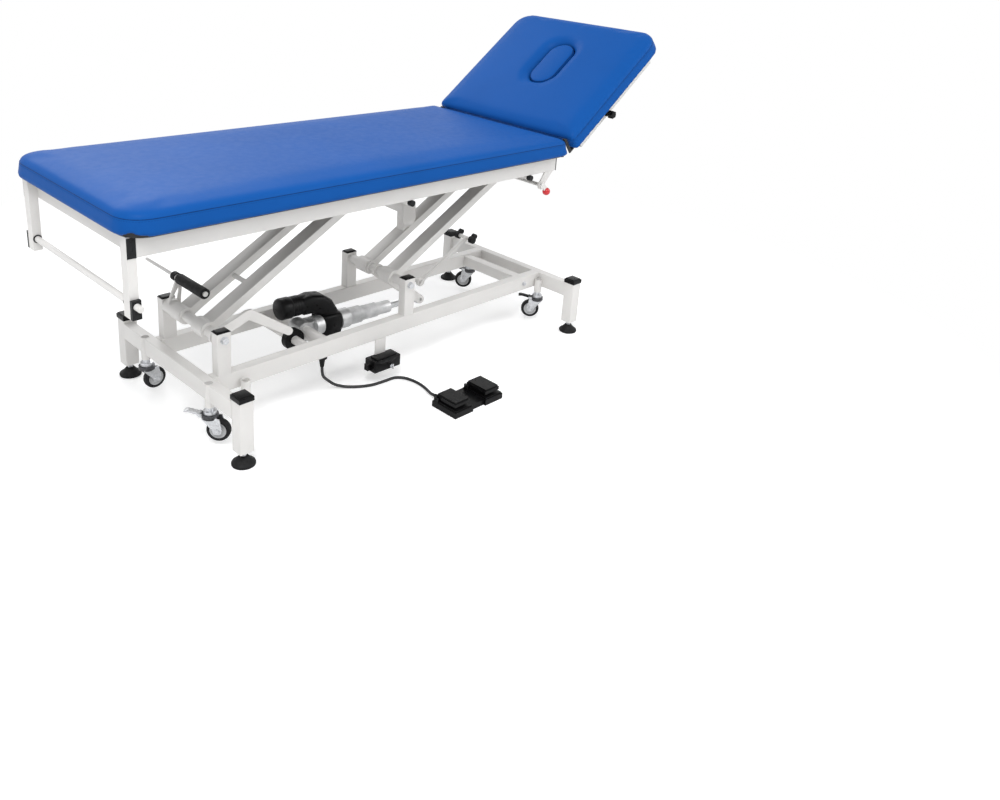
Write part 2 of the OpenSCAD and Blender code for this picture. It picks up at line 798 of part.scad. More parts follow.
// The bent link on the near end of the foot cross tube
module lift_link() {
    color("#e8e5e0") place() difference() {
        union() {
            rod_y(post_x1, pivot_z, cross_d + 14, -post_in_y + 3, -post_in_y + 13);
            plate_xz([
                [post_x1 + 6, pivot_z + 18], [elbow_x - 10, elbow_z + 10], [elbow_x + 8, elbow_z + 10],
                [link_x + 6, link_z + 10], [link_x - 6, link_z - 10], [elbow_x - 2, elbow_z - 18],
                [post_x1 + 16, pivot_z - 8]
            ], -post_in_y + 3, -post_in_y + 13);
            rod_y(link_x, link_z, 22, -post_in_y + 3, -post_in_y + 13);
            rod_y(link_x, link_z, 12, -post_in_y + 3, -arm_out + 20);
        }
        rod_y(post_x1, pivot_z, cross_d + 2 * run_clear, -post_in_y, -post_in_y + 20);
    }
}
elbow_x = post_x1 + 96;
elbow_z = pivot_z + 38;
link_x = post_x1 + 222;
link_z = pivot_z - 50;

// The pedal bar at the head end, on a shaft from the far side rail
bar_x = post_x2 + 250;
bar_z = base_top - 23;
bar_shaft = 16;
bar_y = arm_out - 18;
bar_len = 248;
bar_angle = 29;
module on_bar() {
    translate([bar_x, bar_y, bar_z]) rotate([0, -bar_angle, 0]) children();
}

module pedal_bar() {
    color("#e8e5e0") place() difference() {
        on_bar() {
            rod_y(0, 0, bar_shaft + 14, -6, 6);
            translate([8, -5, -7]) cube([bar_len - 8, 10, 14]);
            rod_y(bar_len, 0, 14, -20, 34);
        }
        rod_y(bar_x, bar_z, bar_shaft + 2 * run_clear, 0, rail_out);
    }
}

module pedal_pads() {
    color("#1b1b1d") place() on_bar() for (y = [-20, 34])
        translate([bar_len, y, 0]) rotate([90, 0, 0]) mirror([0, 0, y < 0 ? 0 : 1]) {
            cylinder(d = 26, h = 16);
            translate([16, 4, 0]) cylinder(d = 18, h = 14);
        }
}

// Top rails
module top_rail_near() {
    color("#e8e5e0") place() box_x(top_x1, top_x2, -frame_y, -frame_in, top_z0, top_z1);
}

module top_rail_far() {
    color("#e8e5e0") place() box_x(top_x1, top_x2, frame_in, frame_y, top_z0, top_z1);
}

// Release lever's axis
rel_x = top_x2 - 58;
rel_z = top_z0 - 43;
rel_d = 12;

// Cross rails, the ears and shafts of the upper pivots, and the accessory tubes
module top_cross_rails() {
    color("#e8e5e0") place() {
        box_y(top_x1, top_x1 + top_rail_w, -frame_in, frame_in, top_z0, top_z1);
        box_y(up_x1 - pivot_rail_w / 2, up_x1 + pivot_rail_w / 2, -frame_in, frame_in, top_z0, top_z1);
        box_y(top_x2 - pivot_rail_w, top_x2, -frame_in, frame_in, top_z0, top_z1);
        for (x = [up_x1, up_x2]) {
            both() {
                plate_xz([[x - 16, up_z], [x + 16, up_z], [x + 3, top_z0], [x - 30, top_z0]],
                    ear_y, ear_y + ear_t);
                rod_y(x, up_z, 32, ear_y, ear_y + ear_t);
            }
            rod_y(x, up_z, shaft_d, -ear_y - ear_t - 4, ear_y + ear_t + 4);
        }
        for (x = [up_x1 + acc_foot, up_x2 - acc_head])
            rod_y(x, top_z0 - acc_d / 2, acc_d, -frame_y + 10, frame_y - 10);
        release_bracket(-frame_y + 4, -frame_y + 9);
        release_bracket(-ear_y - ear_t - 14, -ear_y - ear_t - 9);
    }
}

// A plate under the head cross rail that holds the release lever's rod
module release_bracket(y0, y1) {
    difference() {
        union() {
            plate_xz([[rel_x - 14, rel_z], [rel_x + 14, rel_z], [rel_x + 54, top_z0], [rel_x + 14, top_z0]], y0, y1);
            rod_y(rel_x, rel_z, 28, y0, y1);
        }
        rod_y(rel_x, rel_z, rel_d + 2 * run_clear, y0 - 1, y1 + 1);
    }
}

// Plugs and end plates of the rails, the tubes and the roll holder
module top_plugs() {
    color("#3a3b3d") place() {
        both() {
            translate([top_x1 - 2, frame_in, top_z0]) cube([2, top_rail_w, top_rail_h]);
            translate([top_x2, frame_in, top_z0]) cube([5, top_rail_w, top_rail_h]);
            translate([top_x1 - upright_t, frame_y, top_z0 + 1]) cube([upright_t - 2, 2, top_rail_h - 3]);
            for (z = [14, top_rail_h - 12])
                rod_y(roll_x - 1, top_z0 + z, 6, frame_y + 2, frame_y + 3.5);
            difference() {
                union() {
                    translate([top_x1 - upright_t, frame_y, roll_z - 32]) cube([upright_t, 11, 46]);
                    rod_y(roll_x, roll_z, roll_d + 6, frame_y - upright_w - 3, frame_y - upright_w);
                }
                rod_y(roll_x, roll_z, roll_d + 2 * run_clear, 0, frame_y + 20);
            }
            for (x = [up_x1 + acc_foot, up_x2 - acc_head])
                rod_y(x, top_z0 - acc_d / 2, acc_d, frame_y - 10, frame_y + 4);
        }
    }
}

// Black hinge plates on the top rails, in the gap between the cushions
module hinge_plates() {
    color("#1b1b1d") place() both() difference() {
        union() {
            translate([top_x2 - 20, frame_y, top_z1 - 5]) cube([hinge_x - 5 - top_x2 + 20, hp_y - frame_y, 5]);
            translate([top_x2 - 20, hp_y, top_z1 - 5]) cube([hinge_x + 5 - top_x2 + 20, hp_t, 5]);
            translate([hinge_x - 5, hp_y, top_z1 - 8]) cube([10, hp_t, hinge_z - top_z1 + 8]);
            rod_y(hinge_x, hinge_z, 10, hp_y, hp_y + hp_t);
        }
        rod_y(hinge_x, hinge_z, 6 + 2 * run_clear, hp_y - 1, hp_y + hp_t + 1);
    }
}
hp_y = frame_y + 3;
hp_t = 5;

// Release lever: a rod along the head cross rail with an arm at its near end
module release_lever() {
    color("#e8e5e0") place() {
        rod_y(rel_x, rel_z, rel_d, -frame_y - 4, -ear_y - ear_t - 4);
        plate_xz([[rel_x - 8, rel_z + 4], [rel_x + 8, rel_z + 6], [ball_x + 6, ball_z + 4], [ball_x - 4, ball_z - 8]],
            -frame_y - 4, -frame_y + 2);
        rod_y(rel_x, rel_z, 20, -frame_y - 4, -frame_y + 2);
    }
}
ball_x = rel_x + 16;
ball_z = rel_z - 14;
ball_r = 13;

module release_ball() {
    color("#d81e2c") place() difference() {
        translate([ball_x + 6, -frame_y - 1, ball_z - 9]) sphere(r = ball_r);
        plate_xz([[rel_x - 8, rel_z + 4], [rel_x + 8, rel_z + 6], [ball_x + 6, ball_z + 4], [ball_x - 4, ball_z - 8]],
            -frame_y - 4, -frame_y + 2);
    }
}

// Paper-roll holder
roll_x = top_x1 - upright_t / 2;
roll_z = top_z1 - roll_drop;
module roll_uprights() {
    color("#e8e5e0") place() both() difference() {
        union() {
            translate([top_x1 - upright_t, frame_y - upright_w, roll_z - 32])
                cube([upright_t, upright_w, top_z0 - roll_z + 32]);
            translate([top_x1 - upright_t, frame_y - upright_w, top_z0]) cube([upright_t, upright_w - top_rail_w, top_rail_h]);
            translate([top_x1 - upright_t, frame_y - top_rail_w, top_z0]) cube([upright_t - 2, top_rail_w, top_rail_h]);
        }
        rod_y(roll_x, roll_z, roll_d + 2 * run_clear, 0, frame_y + 5);
        translate([top_x1 - upright_t + wall, frame_y - upright_w + wall, roll_z + 14])
            cube([upright_t - 2 * wall - 2, upright_w - 2 * wall, top_z1 - roll_z - 20]);
    }
}

// The roll rod, which is pulled out by its near end
module roll_rod() {
    color("#f2f1ee") place() {
        rod_y(roll_x, roll_z, roll_d, -frame_y - 30, frame_y + 4);
        rod_y(roll_x, roll_z, roll_d - 3, -frame_y - 32, -frame_y - 29);
    }
}

// A ring of a cushion's outline: square to the hinge at one end, rounded at the other
function arc(cx, cy, r, a0) = [for (i = [0 : 7]) [cx + r * cos(a0 + i * 90 / 7), cy + r * sin(a0 + i * 90 / 7)]];
function outline(x0, x1, hw, r0, r1) = concat(
    arc(x1 - r1, hw - r1, r1, 0), arc(x0 + r0, hw - r0, r0, 90),
    arc(x0 + r0, -hw + r0, r0, 180), arc(x1 - r1, -hw + r1, r1, 270)
);
// Levels of a cushion: how far in and how high, from the underside over the seam to the crown
LEVELS = [
    [7, 0], [2, 3], [0, 9], [1.4, seam_h * 0.45], [1.2, seam_h * 0.75], [0, seam_h - 2], [0.8, seam_h],
    [2, seam_h + crown_h * 0.3], [6, seam_h + crown_h * 0.55], [14, seam_h + crown_h * 0.75],
    [38, seam_h + crown_h * 0.9], [90, seam_h + crown_h * 0.98], [170, seam_h + crown_h]
];
function ring3(l, len, r0, r1) = [
    for (p = outline(l[0], len - l[0], bed_w / 2 - l[0], max(r0 - l[0], 2), max(r1 - l[0], 3))) [p[0], p[1], l[1]]
];

// A cushion from x = 0 to its length: r0 is its corners' radius at x = 0 and r1 at the other end
module cushion(len, r0, r1) {
    n = 32;
    m = len(LEVELS);
    pts = [for (l = LEVELS) each ring3(l, len, r0, r1)];
    sides = [
        for (k = [0 : m - 2], i = [0 : n - 1], t = [0, 1])
            t == 0 ? [k * n + i, (k + 1) * n + i, k * n + (i + 1) % n]
                   : [(k + 1) * n + i, (k + 1) * n + (i + 1) % n, k * n + (i + 1) % n]
    ];
    bottom = [for (i = [1 : n - 2]) [0, i, i + 1]];
    top = [for (i = [1 : n - 2]) [(m - 1) * n, (m - 1) * n + i + 1, (m - 1) * n + i]];
    polyhedron(pts, concat(sides, bottom, top));
}

module main_board() {
    color("#26262a") place() translate([main_x1 + board_inset, -bed_w / 2 + board_inset, top_z1])
        cube([main_len - 2 * board_inset, bed_w - 2 * board_inset, board_t]);
}

module main_cushion() {
    color("#3f6cb8") place() difference() {
        translate([main_x2, 0, bed_z]) rotate([0, 0, 180]) cushion(main_len, hinge_corner_r, cushion_r);
        translate([main_x1 + board_inset, -bed_w / 2 + board_inset, top_z1])
            cube([main_len - 2 * board_inset, bed_w - 2 * board_inset, board_t]);
    }
}

// A slot-shaped outline with round ends, along X about its middle
module stadium(l, w, h) {
    both_ends = (l - w) / 2;
    linear_extrude(h) union() {
        translate([-both_ends, 0]) circle(d = w);
        translate([both_ends, 0]) circle(d = w);
        square([2 * both_ends, w], center = true);
    }
}

// The head section's frame
module head_frame() {
    s1 = head_s0 + head_len - head_rail_short;
    t1 = head_t0 + head_rail_h;
    color("#e8e5e0") place() on_head() difference() {
        union() {
            both() box_x(head_rail_s0, s1, frame_in, frame_y, head_t0, t1);
            box_y(head_rail_s0, head_rail_s0 + top_rail_w, -frame_in, frame_in, head_t0, t1);
            box_y(s1 - top_rail_w - 28, s1 - 28, -frame_in, frame_in, head_t0, t1);
        }
        rod_y(knob_s, knob_t, 8 + 2 * run_clear, -frame_y - 5, -frame_in + 5);
    }
}
knob_s = 219;
knob_t = head_t0 + 14;

// The board under the head cushion, with the hinge arms and their pins
module head_board() {
    t1 = head_t0 + head_rail_h;
    color("#26262a") place() on_head() {
        difference() {
            head_board_block();
            translate([head_s0 + hole_at, 0, -hinge_up - 10])
                stadium(hole_len - 2 * plug_ledge, hole_w - 2 * plug_ledge, board_t + 20);
        }
        both() {
            translate([12, frame_y, t1 - 5]) cube([46, hp_y + hp_t + 1 - frame_y, 5.2]);
            translate([-5, hp_y + hp_t + 1, t1 - 5]) cube([63, hp_t, 5]);
            translate([-5, hp_y + hp_t + 1, t1 - 5]) cube([10, hp_t, -t1 + 5]);
            rod_y(0, 0, 10, hp_y + hp_t + 1, hp_y + 2 * hp_t + 1);
            rod_y(0, 0, 6, hp_y - 3, hp_y + 2 * hp_t + 1);
        }
    }
}

module head_board_block() {
    translate([head_s0 + board_inset, -bed_w / 2 + board_inset, -hinge_up - board_show])
        cube([head_len - 2 * board_inset, bed_w - 2 * board_inset, board_t]);
}

module head_cushion() {
    color("#3a66b2") place() on_head() difference() {
        translate([head_s0, 0, -hinge_up]) cushion(head_len, hinge_corner_r, cushion_r);
        head_board_block();
        translate([head_s0 + hole_at, 0, -hinge_up - 10]) stadium(hole_len, hole_w, seam_h + crown_h + 30);
    }
}

// The plug that fills the face hole and rests on the board's ledge
module face_plug() {
    h = seam_h + crown_h - plug_sunk - board_t + board_show;
    color("#4572bd") place() on_head()
        translate([head_s0 + hole_at, 0, -hinge_up - board_show + board_t + 0.3]) {
            stadium(hole_len - 2 * plug_clear, hole_w - 2 * plug_clear, h - 5.3);
            stadium(hole_len - 2 * plug_clear - 4, hole_w - 2 * plug_clear - 4, h - 2.3);
            stadium(hole_len - 2 * plug_clear - 14, hole_w - 2 * plug_clear - 14, h - 0.3);
        }
}

// The lobed clamp knob on the head frame's near rail, with its washer and stud
module head_knob() {
    color("#1b1b1d") place() on_head() translate([knob_s, -frame_y, knob_t])
        rotate([90, 0, 0]) {
            translate([0, 0, -top_rail_w - 2]) cylinder(d = 8, h = top_rail_w + 12);
            translate([0, 0, 0.3]) cylinder(d = 20, h = 5);
            translate([0, 0, 12]) cylinder(d = 21, h = 22);
            translate([0, 0, 5]) cylinder(d = 13, h = 8);
            for (a = [0 : 72 : 288]) rotate([0, 0, a]) translate([9, 0, 14]) cylinder(d = 10, h = 18);
        }
}

// The control box under the near side rail
box_x0 = post_x2 - 165;
box_x1 = box_x0 + 100;
box_z0 = base_z - 86;
box_z1 = box_z0 + 37;
box_y0 = -rail_out - 42;
box_y1 = -rail_out + 6;
module control_box() {
    color("#1b1b1d") place() difference() {
        union() {
            translate([box_x0, box_y0, box_z0]) cube([box_x1 - box_x0, box_y1 - box_y0, box_z1 - box_z0]);
            translate([box_x0 + 12, box_y0 + 6, box_z1 - 1]) cube([box_x1 - box_x0 - 24, 30, 6]);
            translate([box_x0 - 16, box_y0 + 16, box_z0 + 8]) cube([17, 16, 8]);
            translate([box_x0 - 16, box_y0 + 16, box_z0 + 8]) cube([6, 16, 20]);
        }
        rod_y(key_x, key_z, 8 + 2 * run_clear, box_y0 - 1, box_y0 + 12);
    }
}
key_x = box_x0 + 58;
key_z = box_z0 + 14;

module box_key() {
    color("#c3c6ca") place() {
        rod_y(key_x, key_z, 8, box_y0 - 5, box_y0 + 10);
        rod_y(key_x, key_z, 13, box_y0 - 10, box_y0 - 2);
        translate([key_x - 2, box_y0 - 16, key_z - 8]) cube([4, 7, 16]);
    }
}

// Where the cord leaves the near side rail
module strain_relief() {
    color("#1b1b1d") place() translate([cord_pts[0][0], cord_pts[0][1], cord_pts[0][2]])
        rotate_extrude() polygon([
            [0, 0], [cord_d / 2 + 1.5, 0], [cord_d / 2 + 5, base_z - cord_pts[0][2] - 8],
            [15, base_z - cord_pts[0][2] - 7], [15, base_z - cord_pts[0][2]], [0, base_z - cord_pts[0][2]]
        ]);
}

// The cord: a tube swept along a smooth curve through the route's points
function cr(p0, p1, p2, p3, t) = 0.5 * (2 * p1 + (p2 - p0) * t + (2 * p0 - 5 * p1 + 4 * p2 - p3) * t * t
    + (3 * p1 - p0 - 3 * p2 + p3) * t * t * t);
function unit(v) = v / norm(v);
CORD_STEPS = 3;
cord_n = len(cord_pts);
cord_line = concat([
    for (k = [0 : cord_n - 2], j = [0 : CORD_STEPS - 1])
        cr(cord_pts[max(k - 1, 0)], cord_pts[k], cord_pts[k + 1], cord_pts[min(k + 2, cord_n - 1)], j / CORD_STEPS)
], [cord_pts[cord_n - 1]]);
cord_m = len(cord_line);
function cord_dir(i) = i == 0 ? [0, 0, -1] : i == cord_m - 1 ? [0, -1, 0]
    : unit(cord_line[i + 1] - cord_line[i - 1]);
function carry(v, d) = unit(v - (v * d) * d);
function frames(i, v) = i >= cord_m ? [] : let (n = carry(v, cord_dir(i))) concat([n], frames(i + 1, n));
CORD_SIDES = 10;
module foot_cord() {
    fr = frames(0, [0, 1, 0]);
    pts = [
        for (i = [0 : cord_m - 1], s = [0 : CORD_SIDES - 1])
            let (d = cord_dir(i), u = fr[i], w = cross(d, u), a = s * 360 / CORD_SIDES)
            cord_line[i] + cord_d / 2 * (u * cos(a) + w * sin(a))
    ];
    faces = [
        for (i = [0 : cord_m - 2], s = [0 : CORD_SIDES - 1], t = [0, 1])
            let (a = i * CORD_SIDES + s, b = i * CORD_SIDES + (s + 1) % CORD_SIDES)
            t == 0 ? [a, a + CORD_SIDES, b] : [a + CORD_SIDES, b + CORD_SIDES, b]
    ];
    ends = concat(
        [for (s = [1 : CORD_SIDES - 2]) [0, s, s + 1]],
        [for (s = [1 : CORD_SIDES - 2]) let (o = (cord_m - 1) * CORD_SIDES) [o, o + s + 1, o + s]]
    );
    color("#141416") place() polyhedron(pts, concat(faces, ends));
}

// The foot pedal unit: a base plate with lugs for the two rocker pedals
unit_back = unit_y + unit_w / 2;
pedal_w = 58;
pedal_l = unit_w - 20;
block_len = pedal_w + 14;
module pedal_unit() {
    color("#1b1b1d") place() {
        difference() {
            union() {
                translate([unit_x - unit_len / 2 + 10, unit_y - unit_w / 2 + 8, 0])
                    cube([unit_len - 20, unit_w - 8, unit_h - 5]);
                for (s = [-1, 1]) {
                    translate([unit_x + s * (unit_len - block_len) / 2 - block_len / 2, unit_y - unit_w / 2, 0])
                        cube([block_len, unit_w, unit_h - 4]);
                    translate([unit_x + s * (unit_len - block_len) / 2 - block_len / 2 + 3, unit_y - unit_w / 2 + 3, 0])
                        cube([block_len - 6, unit_w - 6, unit_h]);
                    translate([unit_x + s * (unit_len / 2 - 3.5) - 2.5, unit_back - 24, 0]) cube([5, 18, unit_h + 12]);
                    translate([unit_x + s * (unit_len / 2 - pedal_w - 11) - 3, unit_back - 24, 0])
                        cube([6, 18, unit_h + 12]);
                }
            }
            rod_x(pedal_y, pedal_z, 6 + 2 * run_clear, unit_x - unit_len, unit_x + unit_len);
        }
        cord_end = cord_pts[cord_n - 1];
        translate([cord_end[0], unit_back, cord_end[2]]) rotate([90, 0, 0]) mirror([0, 0, 1])
            cylinder(r1 = 10, r2 = cord_d / 2 + 1.5, h = cord_end[1] - unit_back);
    }
}
pedal_y = unit_back - 15;
pedal_z = unit_h + 6;

// A rocker pedal from x0 to x1 with its pin
module rocker(x0, x1) {
    translate([x0, unit_back - 10 - pedal_l, unit_h + 7]) cube([x1 - x0, pedal_l, 10]);
    translate([x0 + 3, unit_back - 7 - pedal_l, unit_h + 7]) cube([x1 - x0 - 6, pedal_l - 6, 15]);
    rod_x(pedal_y, pedal_z, 10, x0, x1);
    rod_x(pedal_y, pedal_z, 6, x0 - 4, x1 + 4);
}

module pedal_left() {
    color("#232326") place() rocker(unit_x - unit_len / 2 + 7, unit_x - unit_len / 2 + 7 + pedal_w);
}

module pedal_right() {
    color("#232326") place() rocker(unit_x + unit_len / 2 - 7 - pedal_w, unit_x + unit_len / 2 - 7);
}

side_rail_near();
side_rail_far();
foot_cross_bar();
head_cross_bar();
inner_cross_tubes();
legs();
posts();
end_caps();
castor_tubes();
frame_bolts();
levelling_foot_1();
levelling_foot_2();
levelling_foot_3();
levelling_foot_4();
castor_stems();
castor_fork_1();
castor_fork_2();
castor_fork_3();
castor_fork_4();
castor_wheel_1();
castor_wheel_2();
castor_wheel_3();
castor_wheel_4();
castor_brake_1();
castor_brake_3();
castor_brake_4();
foot_arms();
head_arms();
bent_beam();
actuator_body();
actuator_motor();
actuator_rod();
lift_lever();
lever_grip();
lift_link();
pedal_bar();
pedal_pads();
top_rail_near();
top_rail_far();
top_cross_rails();
top_plugs();
hinge_plates();
release_lever();
release_ball();
roll_uprights();
roll_rod();
main_board();
main_cushion();
head_frame();
head_board();
head_cushion();
face_plug();
head_knob();
control_box();
box_key();
strain_relief();
foot_cord();
pedal_unit();
pedal_left();
pedal_right();
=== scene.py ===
"""The examination table's looks: finishes, cushions, seams, rounded tubes, cord and studio."""

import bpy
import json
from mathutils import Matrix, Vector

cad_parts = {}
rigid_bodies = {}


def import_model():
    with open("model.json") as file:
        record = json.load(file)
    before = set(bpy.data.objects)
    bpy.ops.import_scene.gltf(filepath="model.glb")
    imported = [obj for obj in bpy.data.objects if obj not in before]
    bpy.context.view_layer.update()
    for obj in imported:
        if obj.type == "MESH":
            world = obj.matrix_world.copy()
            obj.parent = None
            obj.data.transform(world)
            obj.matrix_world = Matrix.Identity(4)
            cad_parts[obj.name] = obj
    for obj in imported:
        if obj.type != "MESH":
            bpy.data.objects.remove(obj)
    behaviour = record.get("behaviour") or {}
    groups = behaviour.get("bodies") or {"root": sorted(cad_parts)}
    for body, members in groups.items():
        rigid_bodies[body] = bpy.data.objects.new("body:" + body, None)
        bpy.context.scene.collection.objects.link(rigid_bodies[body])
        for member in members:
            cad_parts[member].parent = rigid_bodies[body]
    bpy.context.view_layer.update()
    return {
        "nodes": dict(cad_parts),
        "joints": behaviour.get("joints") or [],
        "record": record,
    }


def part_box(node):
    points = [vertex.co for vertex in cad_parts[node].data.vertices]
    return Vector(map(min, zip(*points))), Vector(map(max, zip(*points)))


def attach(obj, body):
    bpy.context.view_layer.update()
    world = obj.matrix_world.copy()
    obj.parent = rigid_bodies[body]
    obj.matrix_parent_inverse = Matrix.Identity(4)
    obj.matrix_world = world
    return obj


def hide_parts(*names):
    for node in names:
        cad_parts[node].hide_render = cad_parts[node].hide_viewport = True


bl_info = {
    "name": "Examination Table",
    "version": (1, 0, 0),
    "blender": (4, 5, 0),
    "location": "3D View > Sidebar > Table",
    "description": "Dresses the examination table's solids and sets up its studio",
    "category": "Object",
}

import json
import math

import bmesh
import bpy
from bpy.props import FloatProperty, FloatVectorProperty, PointerProperty
from mathutils import Matrix, Vector
from mathutils.bvhtree import BVHTree

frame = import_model()
JOINTS = {j["name"]: j for j in frame["joints"]}
BODY = {n: b for b, ns in frame["record"]["behaviour"]["bodies"].items() for n in ns}
# How far the camera's and the cord's own measures lie from the frame's origin along X
SHIFT = 0.0441265


# ---------------------------------------------------------------- sizes and colours


class TableColours(bpy.types.PropertyGroup):
    vinyl: FloatVectorProperty(
        name="Vinyl", description="Colour of the upholstery", subtype="COLOR", size=3, min=0, max=1,
        default=(0.008, 0.084, 0.335))
    paint: FloatVectorProperty(
        name="Paint", description="Colour of the powder-coated steel", subtype="COLOR", size=3, min=0, max=1,
        default=(0.765, 0.75, 0.73))
    plastic: FloatVectorProperty(
        name="Black plastic", description="Colour of the caps, grips and pedals", subtype="COLOR", size=3, min=0,
        max=1, default=(0.0042, 0.0042, 0.0046))
    ball: FloatVectorProperty(
        name="Ball", description="Colour of the release lever's ball", subtype="COLOR", size=3, min=0, max=1,
        default=(0.66, 0.008, 0.016))
    floor: FloatVectorProperty(
        name="Floor", description="Colour of the studio floor", subtype="COLOR", size=3, min=0, max=1,
        default=(0.93, 0.93, 0.93))


class TableSizes(bpy.types.PropertyGroup):
    voxel: FloatProperty(
        name="Cushion mesh", description="Size of the faces of a cushion before it swells", default=0.007,
        min=0.004, max=0.02, unit="LENGTH")
    swell: FloatProperty(
        name="Swell", description="Furthest that a cushion's skin may move as it swells", default=0.005, min=0.0,
        max=0.016, unit="LENGTH")
    seam: FloatProperty(
        name="Seam", description="Radius of the welt in a cushion's seam", default=0.0009, min=0.0004, max=0.003,
        unit="LENGTH")
    stitch: FloatProperty(
        name="Stitch pitch", description="Distance from one stitch to the next", default=0.0065, min=0.003,
        max=0.012, unit="LENGTH")
    edge: FloatProperty(
        name="Tube corner", description="Radius of the square tubes' long corners", default=0.0022, min=0.0005,
        max=0.004, unit="LENGTH")


def colours():
    return bpy.context.scene.table_colours


def sizes():
    return bpy.context.scene.table_sizes


# ---------------------------------------------------------------- finishes


class Finish:
    """A material under construction: short names for the nodes that the finishes share."""

    def __init__(self, name):
        self.mat = bpy.data.materials.new(name)
        self.mat.use_nodes = True
        self.nodes = self.mat.node_tree.nodes
        self.links = self.mat.node_tree.links
        self.shader = self.nodes["Principled BSDF"]
        self.coord = self.nodes.new("ShaderNodeTexCoord").outputs["Object"]

    def set(self, **values):
        for name, value in values.items():
            socket = self.shader.inputs[name.replace("_", " ")]
            socket.default_value = value

    def noise(self, scale, detail=3.0, rough=0.5, coord=None, distort=0.0):
        n = self.nodes.new("ShaderNodeTexNoise")
        n.inputs["Scale"].default_value = scale
        n.inputs["Detail"].default_value = detail
        n.inputs["Roughness"].default_value = rough
        n.inputs["Distortion"].default_value = distort
        self.links.new(coord or self.coord, n.inputs["Vector"])
        return n.outputs["Fac"]

    def span(self, fac, low, high, from_low=0.3, from_high=0.7):
        n = self.nodes.new("ShaderNodeMapRange")
        for i, v in enumerate((from_low, from_high, low, high), 1):
            n.inputs[i].default_value = v
        self.links.new(fac, n.inputs[0])
        return n.outputs[0]

    def stretched(self, x, y, z):
        n = self.nodes.new("ShaderNodeMapping")
        n.inputs["Scale"].default_value = (x, y, z)
        self.links.new(self.coord, n.inputs["Vector"])
        return n.outputs["Vector"]

    def blend(self, fac, a, b):
        n = self.nodes.new("ShaderNodeMix")
        n.data_type = "RGBA"
        n.inputs[6].default_value = (*a, 1.0)
        n.inputs[7].default_value = (*b, 1.0)
        self.links.new(fac, n.inputs[0])
        return n.outputs[2]

    def bump(self, height, depth, strength):
        n = self.nodes.new("ShaderNodeBump")
        n.inputs["Strength"].default_value = strength
        n.inputs["Distance"].default_value = depth
        self.links.new(height, n.inputs["Height"])
        return n.outputs["Normal"]

    def wire(self, **outputs):
        for name, out in outputs.items():
            self.links.new(out, self.shader.inputs[name.replace("_", " ")])


def shade(colour, k):
    return tuple(min(1.0, c * k) for c in colour)


def vinyl_finish():
    """Smooth upholstery vinyl: a fine pebble grain, soft gloss and slow changes of tone."""
    f = Finish("blue_vinyl")
    c = colours().vinyl
    f.set(Specular_IOR_Level=0.035)
    tone = f.span(f.noise(5.0, 2.0), 0.0, 1.0)
    f.wire(Base_Color=f.blend(tone, shade(c, 0.97), shade(c, 1.03)))
    f.wire(Roughness=f.span(f.noise(60.0, 4.0), 0.33, 0.40))
    f.wire(Normal=f.bump(f.noise(900.0, 2.0), 0.00008, 0.25))
    return f.mat


def thread_finish():
    """Blue sewing thread, a little darker than the vinyl."""
    f = Finish("blue_thread")
    c = colours().vinyl
    f.set(Roughness=0.7, Specular_IOR_Level=0.05)
    twist = f.noise(900.0, 2.0, coord=f.stretched(3, 3, 1))
    f.wire(Base_Color=f.blend(f.span(twist, 0.0, 1.0), shade(c, 0.45), shade(c, 0.72)))
    f.wire(Normal=f.bump(twist, 0.0002, 0.5))
    return f.mat


def seam_shade_finish():
    """The turned edge in a cushion's seam, its vinyl darkened as painted shade in the seam's groove."""
    f = Finish("seam_painted_shade")
    c = colours().vinyl
    f.set(Specular_IOR_Level=0.08)
    # Base colour 0.36 to 0.52 of the vinyl: painted shade in the seam's groove
    f.wire(Base_Color=f.blend(f.span(f.noise(300.0), 0.0, 1.0), shade(c, 0.36), shade(c, 0.52)))
    f.wire(Roughness=f.span(f.noise(700.0), 0.45, 0.6))
    f.wire(Normal=f.bump(f.noise(1500.0), 0.0001, 0.4))
    return f.mat


def paint_finish():
    """Off-white powder coat: faint orange peel and slight yellowing in patches."""
    f = Finish("powder_coat")
    c = colours().paint
    f.set(Specular_IOR_Level=0.45)
    patch = f.span(f.noise(7.0, 3.0), 0.0, 1.0)
    f.wire(Base_Color=f.blend(patch, shade(c, 0.965), shade(c, 1.02)))
    f.wire(Roughness=f.span(f.noise(90.0, 3.0), 0.30, 0.40))
    f.wire(Normal=f.bump(f.noise(650.0, 2.0), 0.00012, 0.30))
    return f.mat


def zinc_finish(name="bright_zinc", colour=(0.66, 0.67, 0.69), rough=(0.24, 0.38)):
    """Zinc-plated steel with fine cloudy spangle."""
    f = Finish(name)
    f.set(Metallic=1.0)
    cloud = f.span(f.noise(160.0, 4.0), 0.0, 1.0)
    f.wire(Base_Color=f.blend(cloud, shade(colour, 0.86), shade(colour, 1.08)))
    f.wire(Roughness=f.span(f.noise(240.0, 3.0), *rough))
    f.wire(Normal=f.bump(f.noise(900.0, 3.0), 0.0001, 0.25))
    return f.mat


def casting_finish():
    """Satin cast aluminium: sand-cast grain and patches of lighter and darker tone."""
    f = Finish("cast_aluminium")
    f.set(Metallic=0.85)
    cloud = f.span(f.noise(38.0, 5.0), 0.0, 1.0)
    f.wire(Base_Color=f.blend(cloud, (0.56, 0.565, 0.57), (0.76, 0.765, 0.77)))
    f.wire(Roughness=f.span(f.noise(120.0, 3.0), 0.38, 0.55))
    f.wire(Normal=f.bump(f.noise(520.0, 4.0), 0.0004, 0.45))
    return f.mat


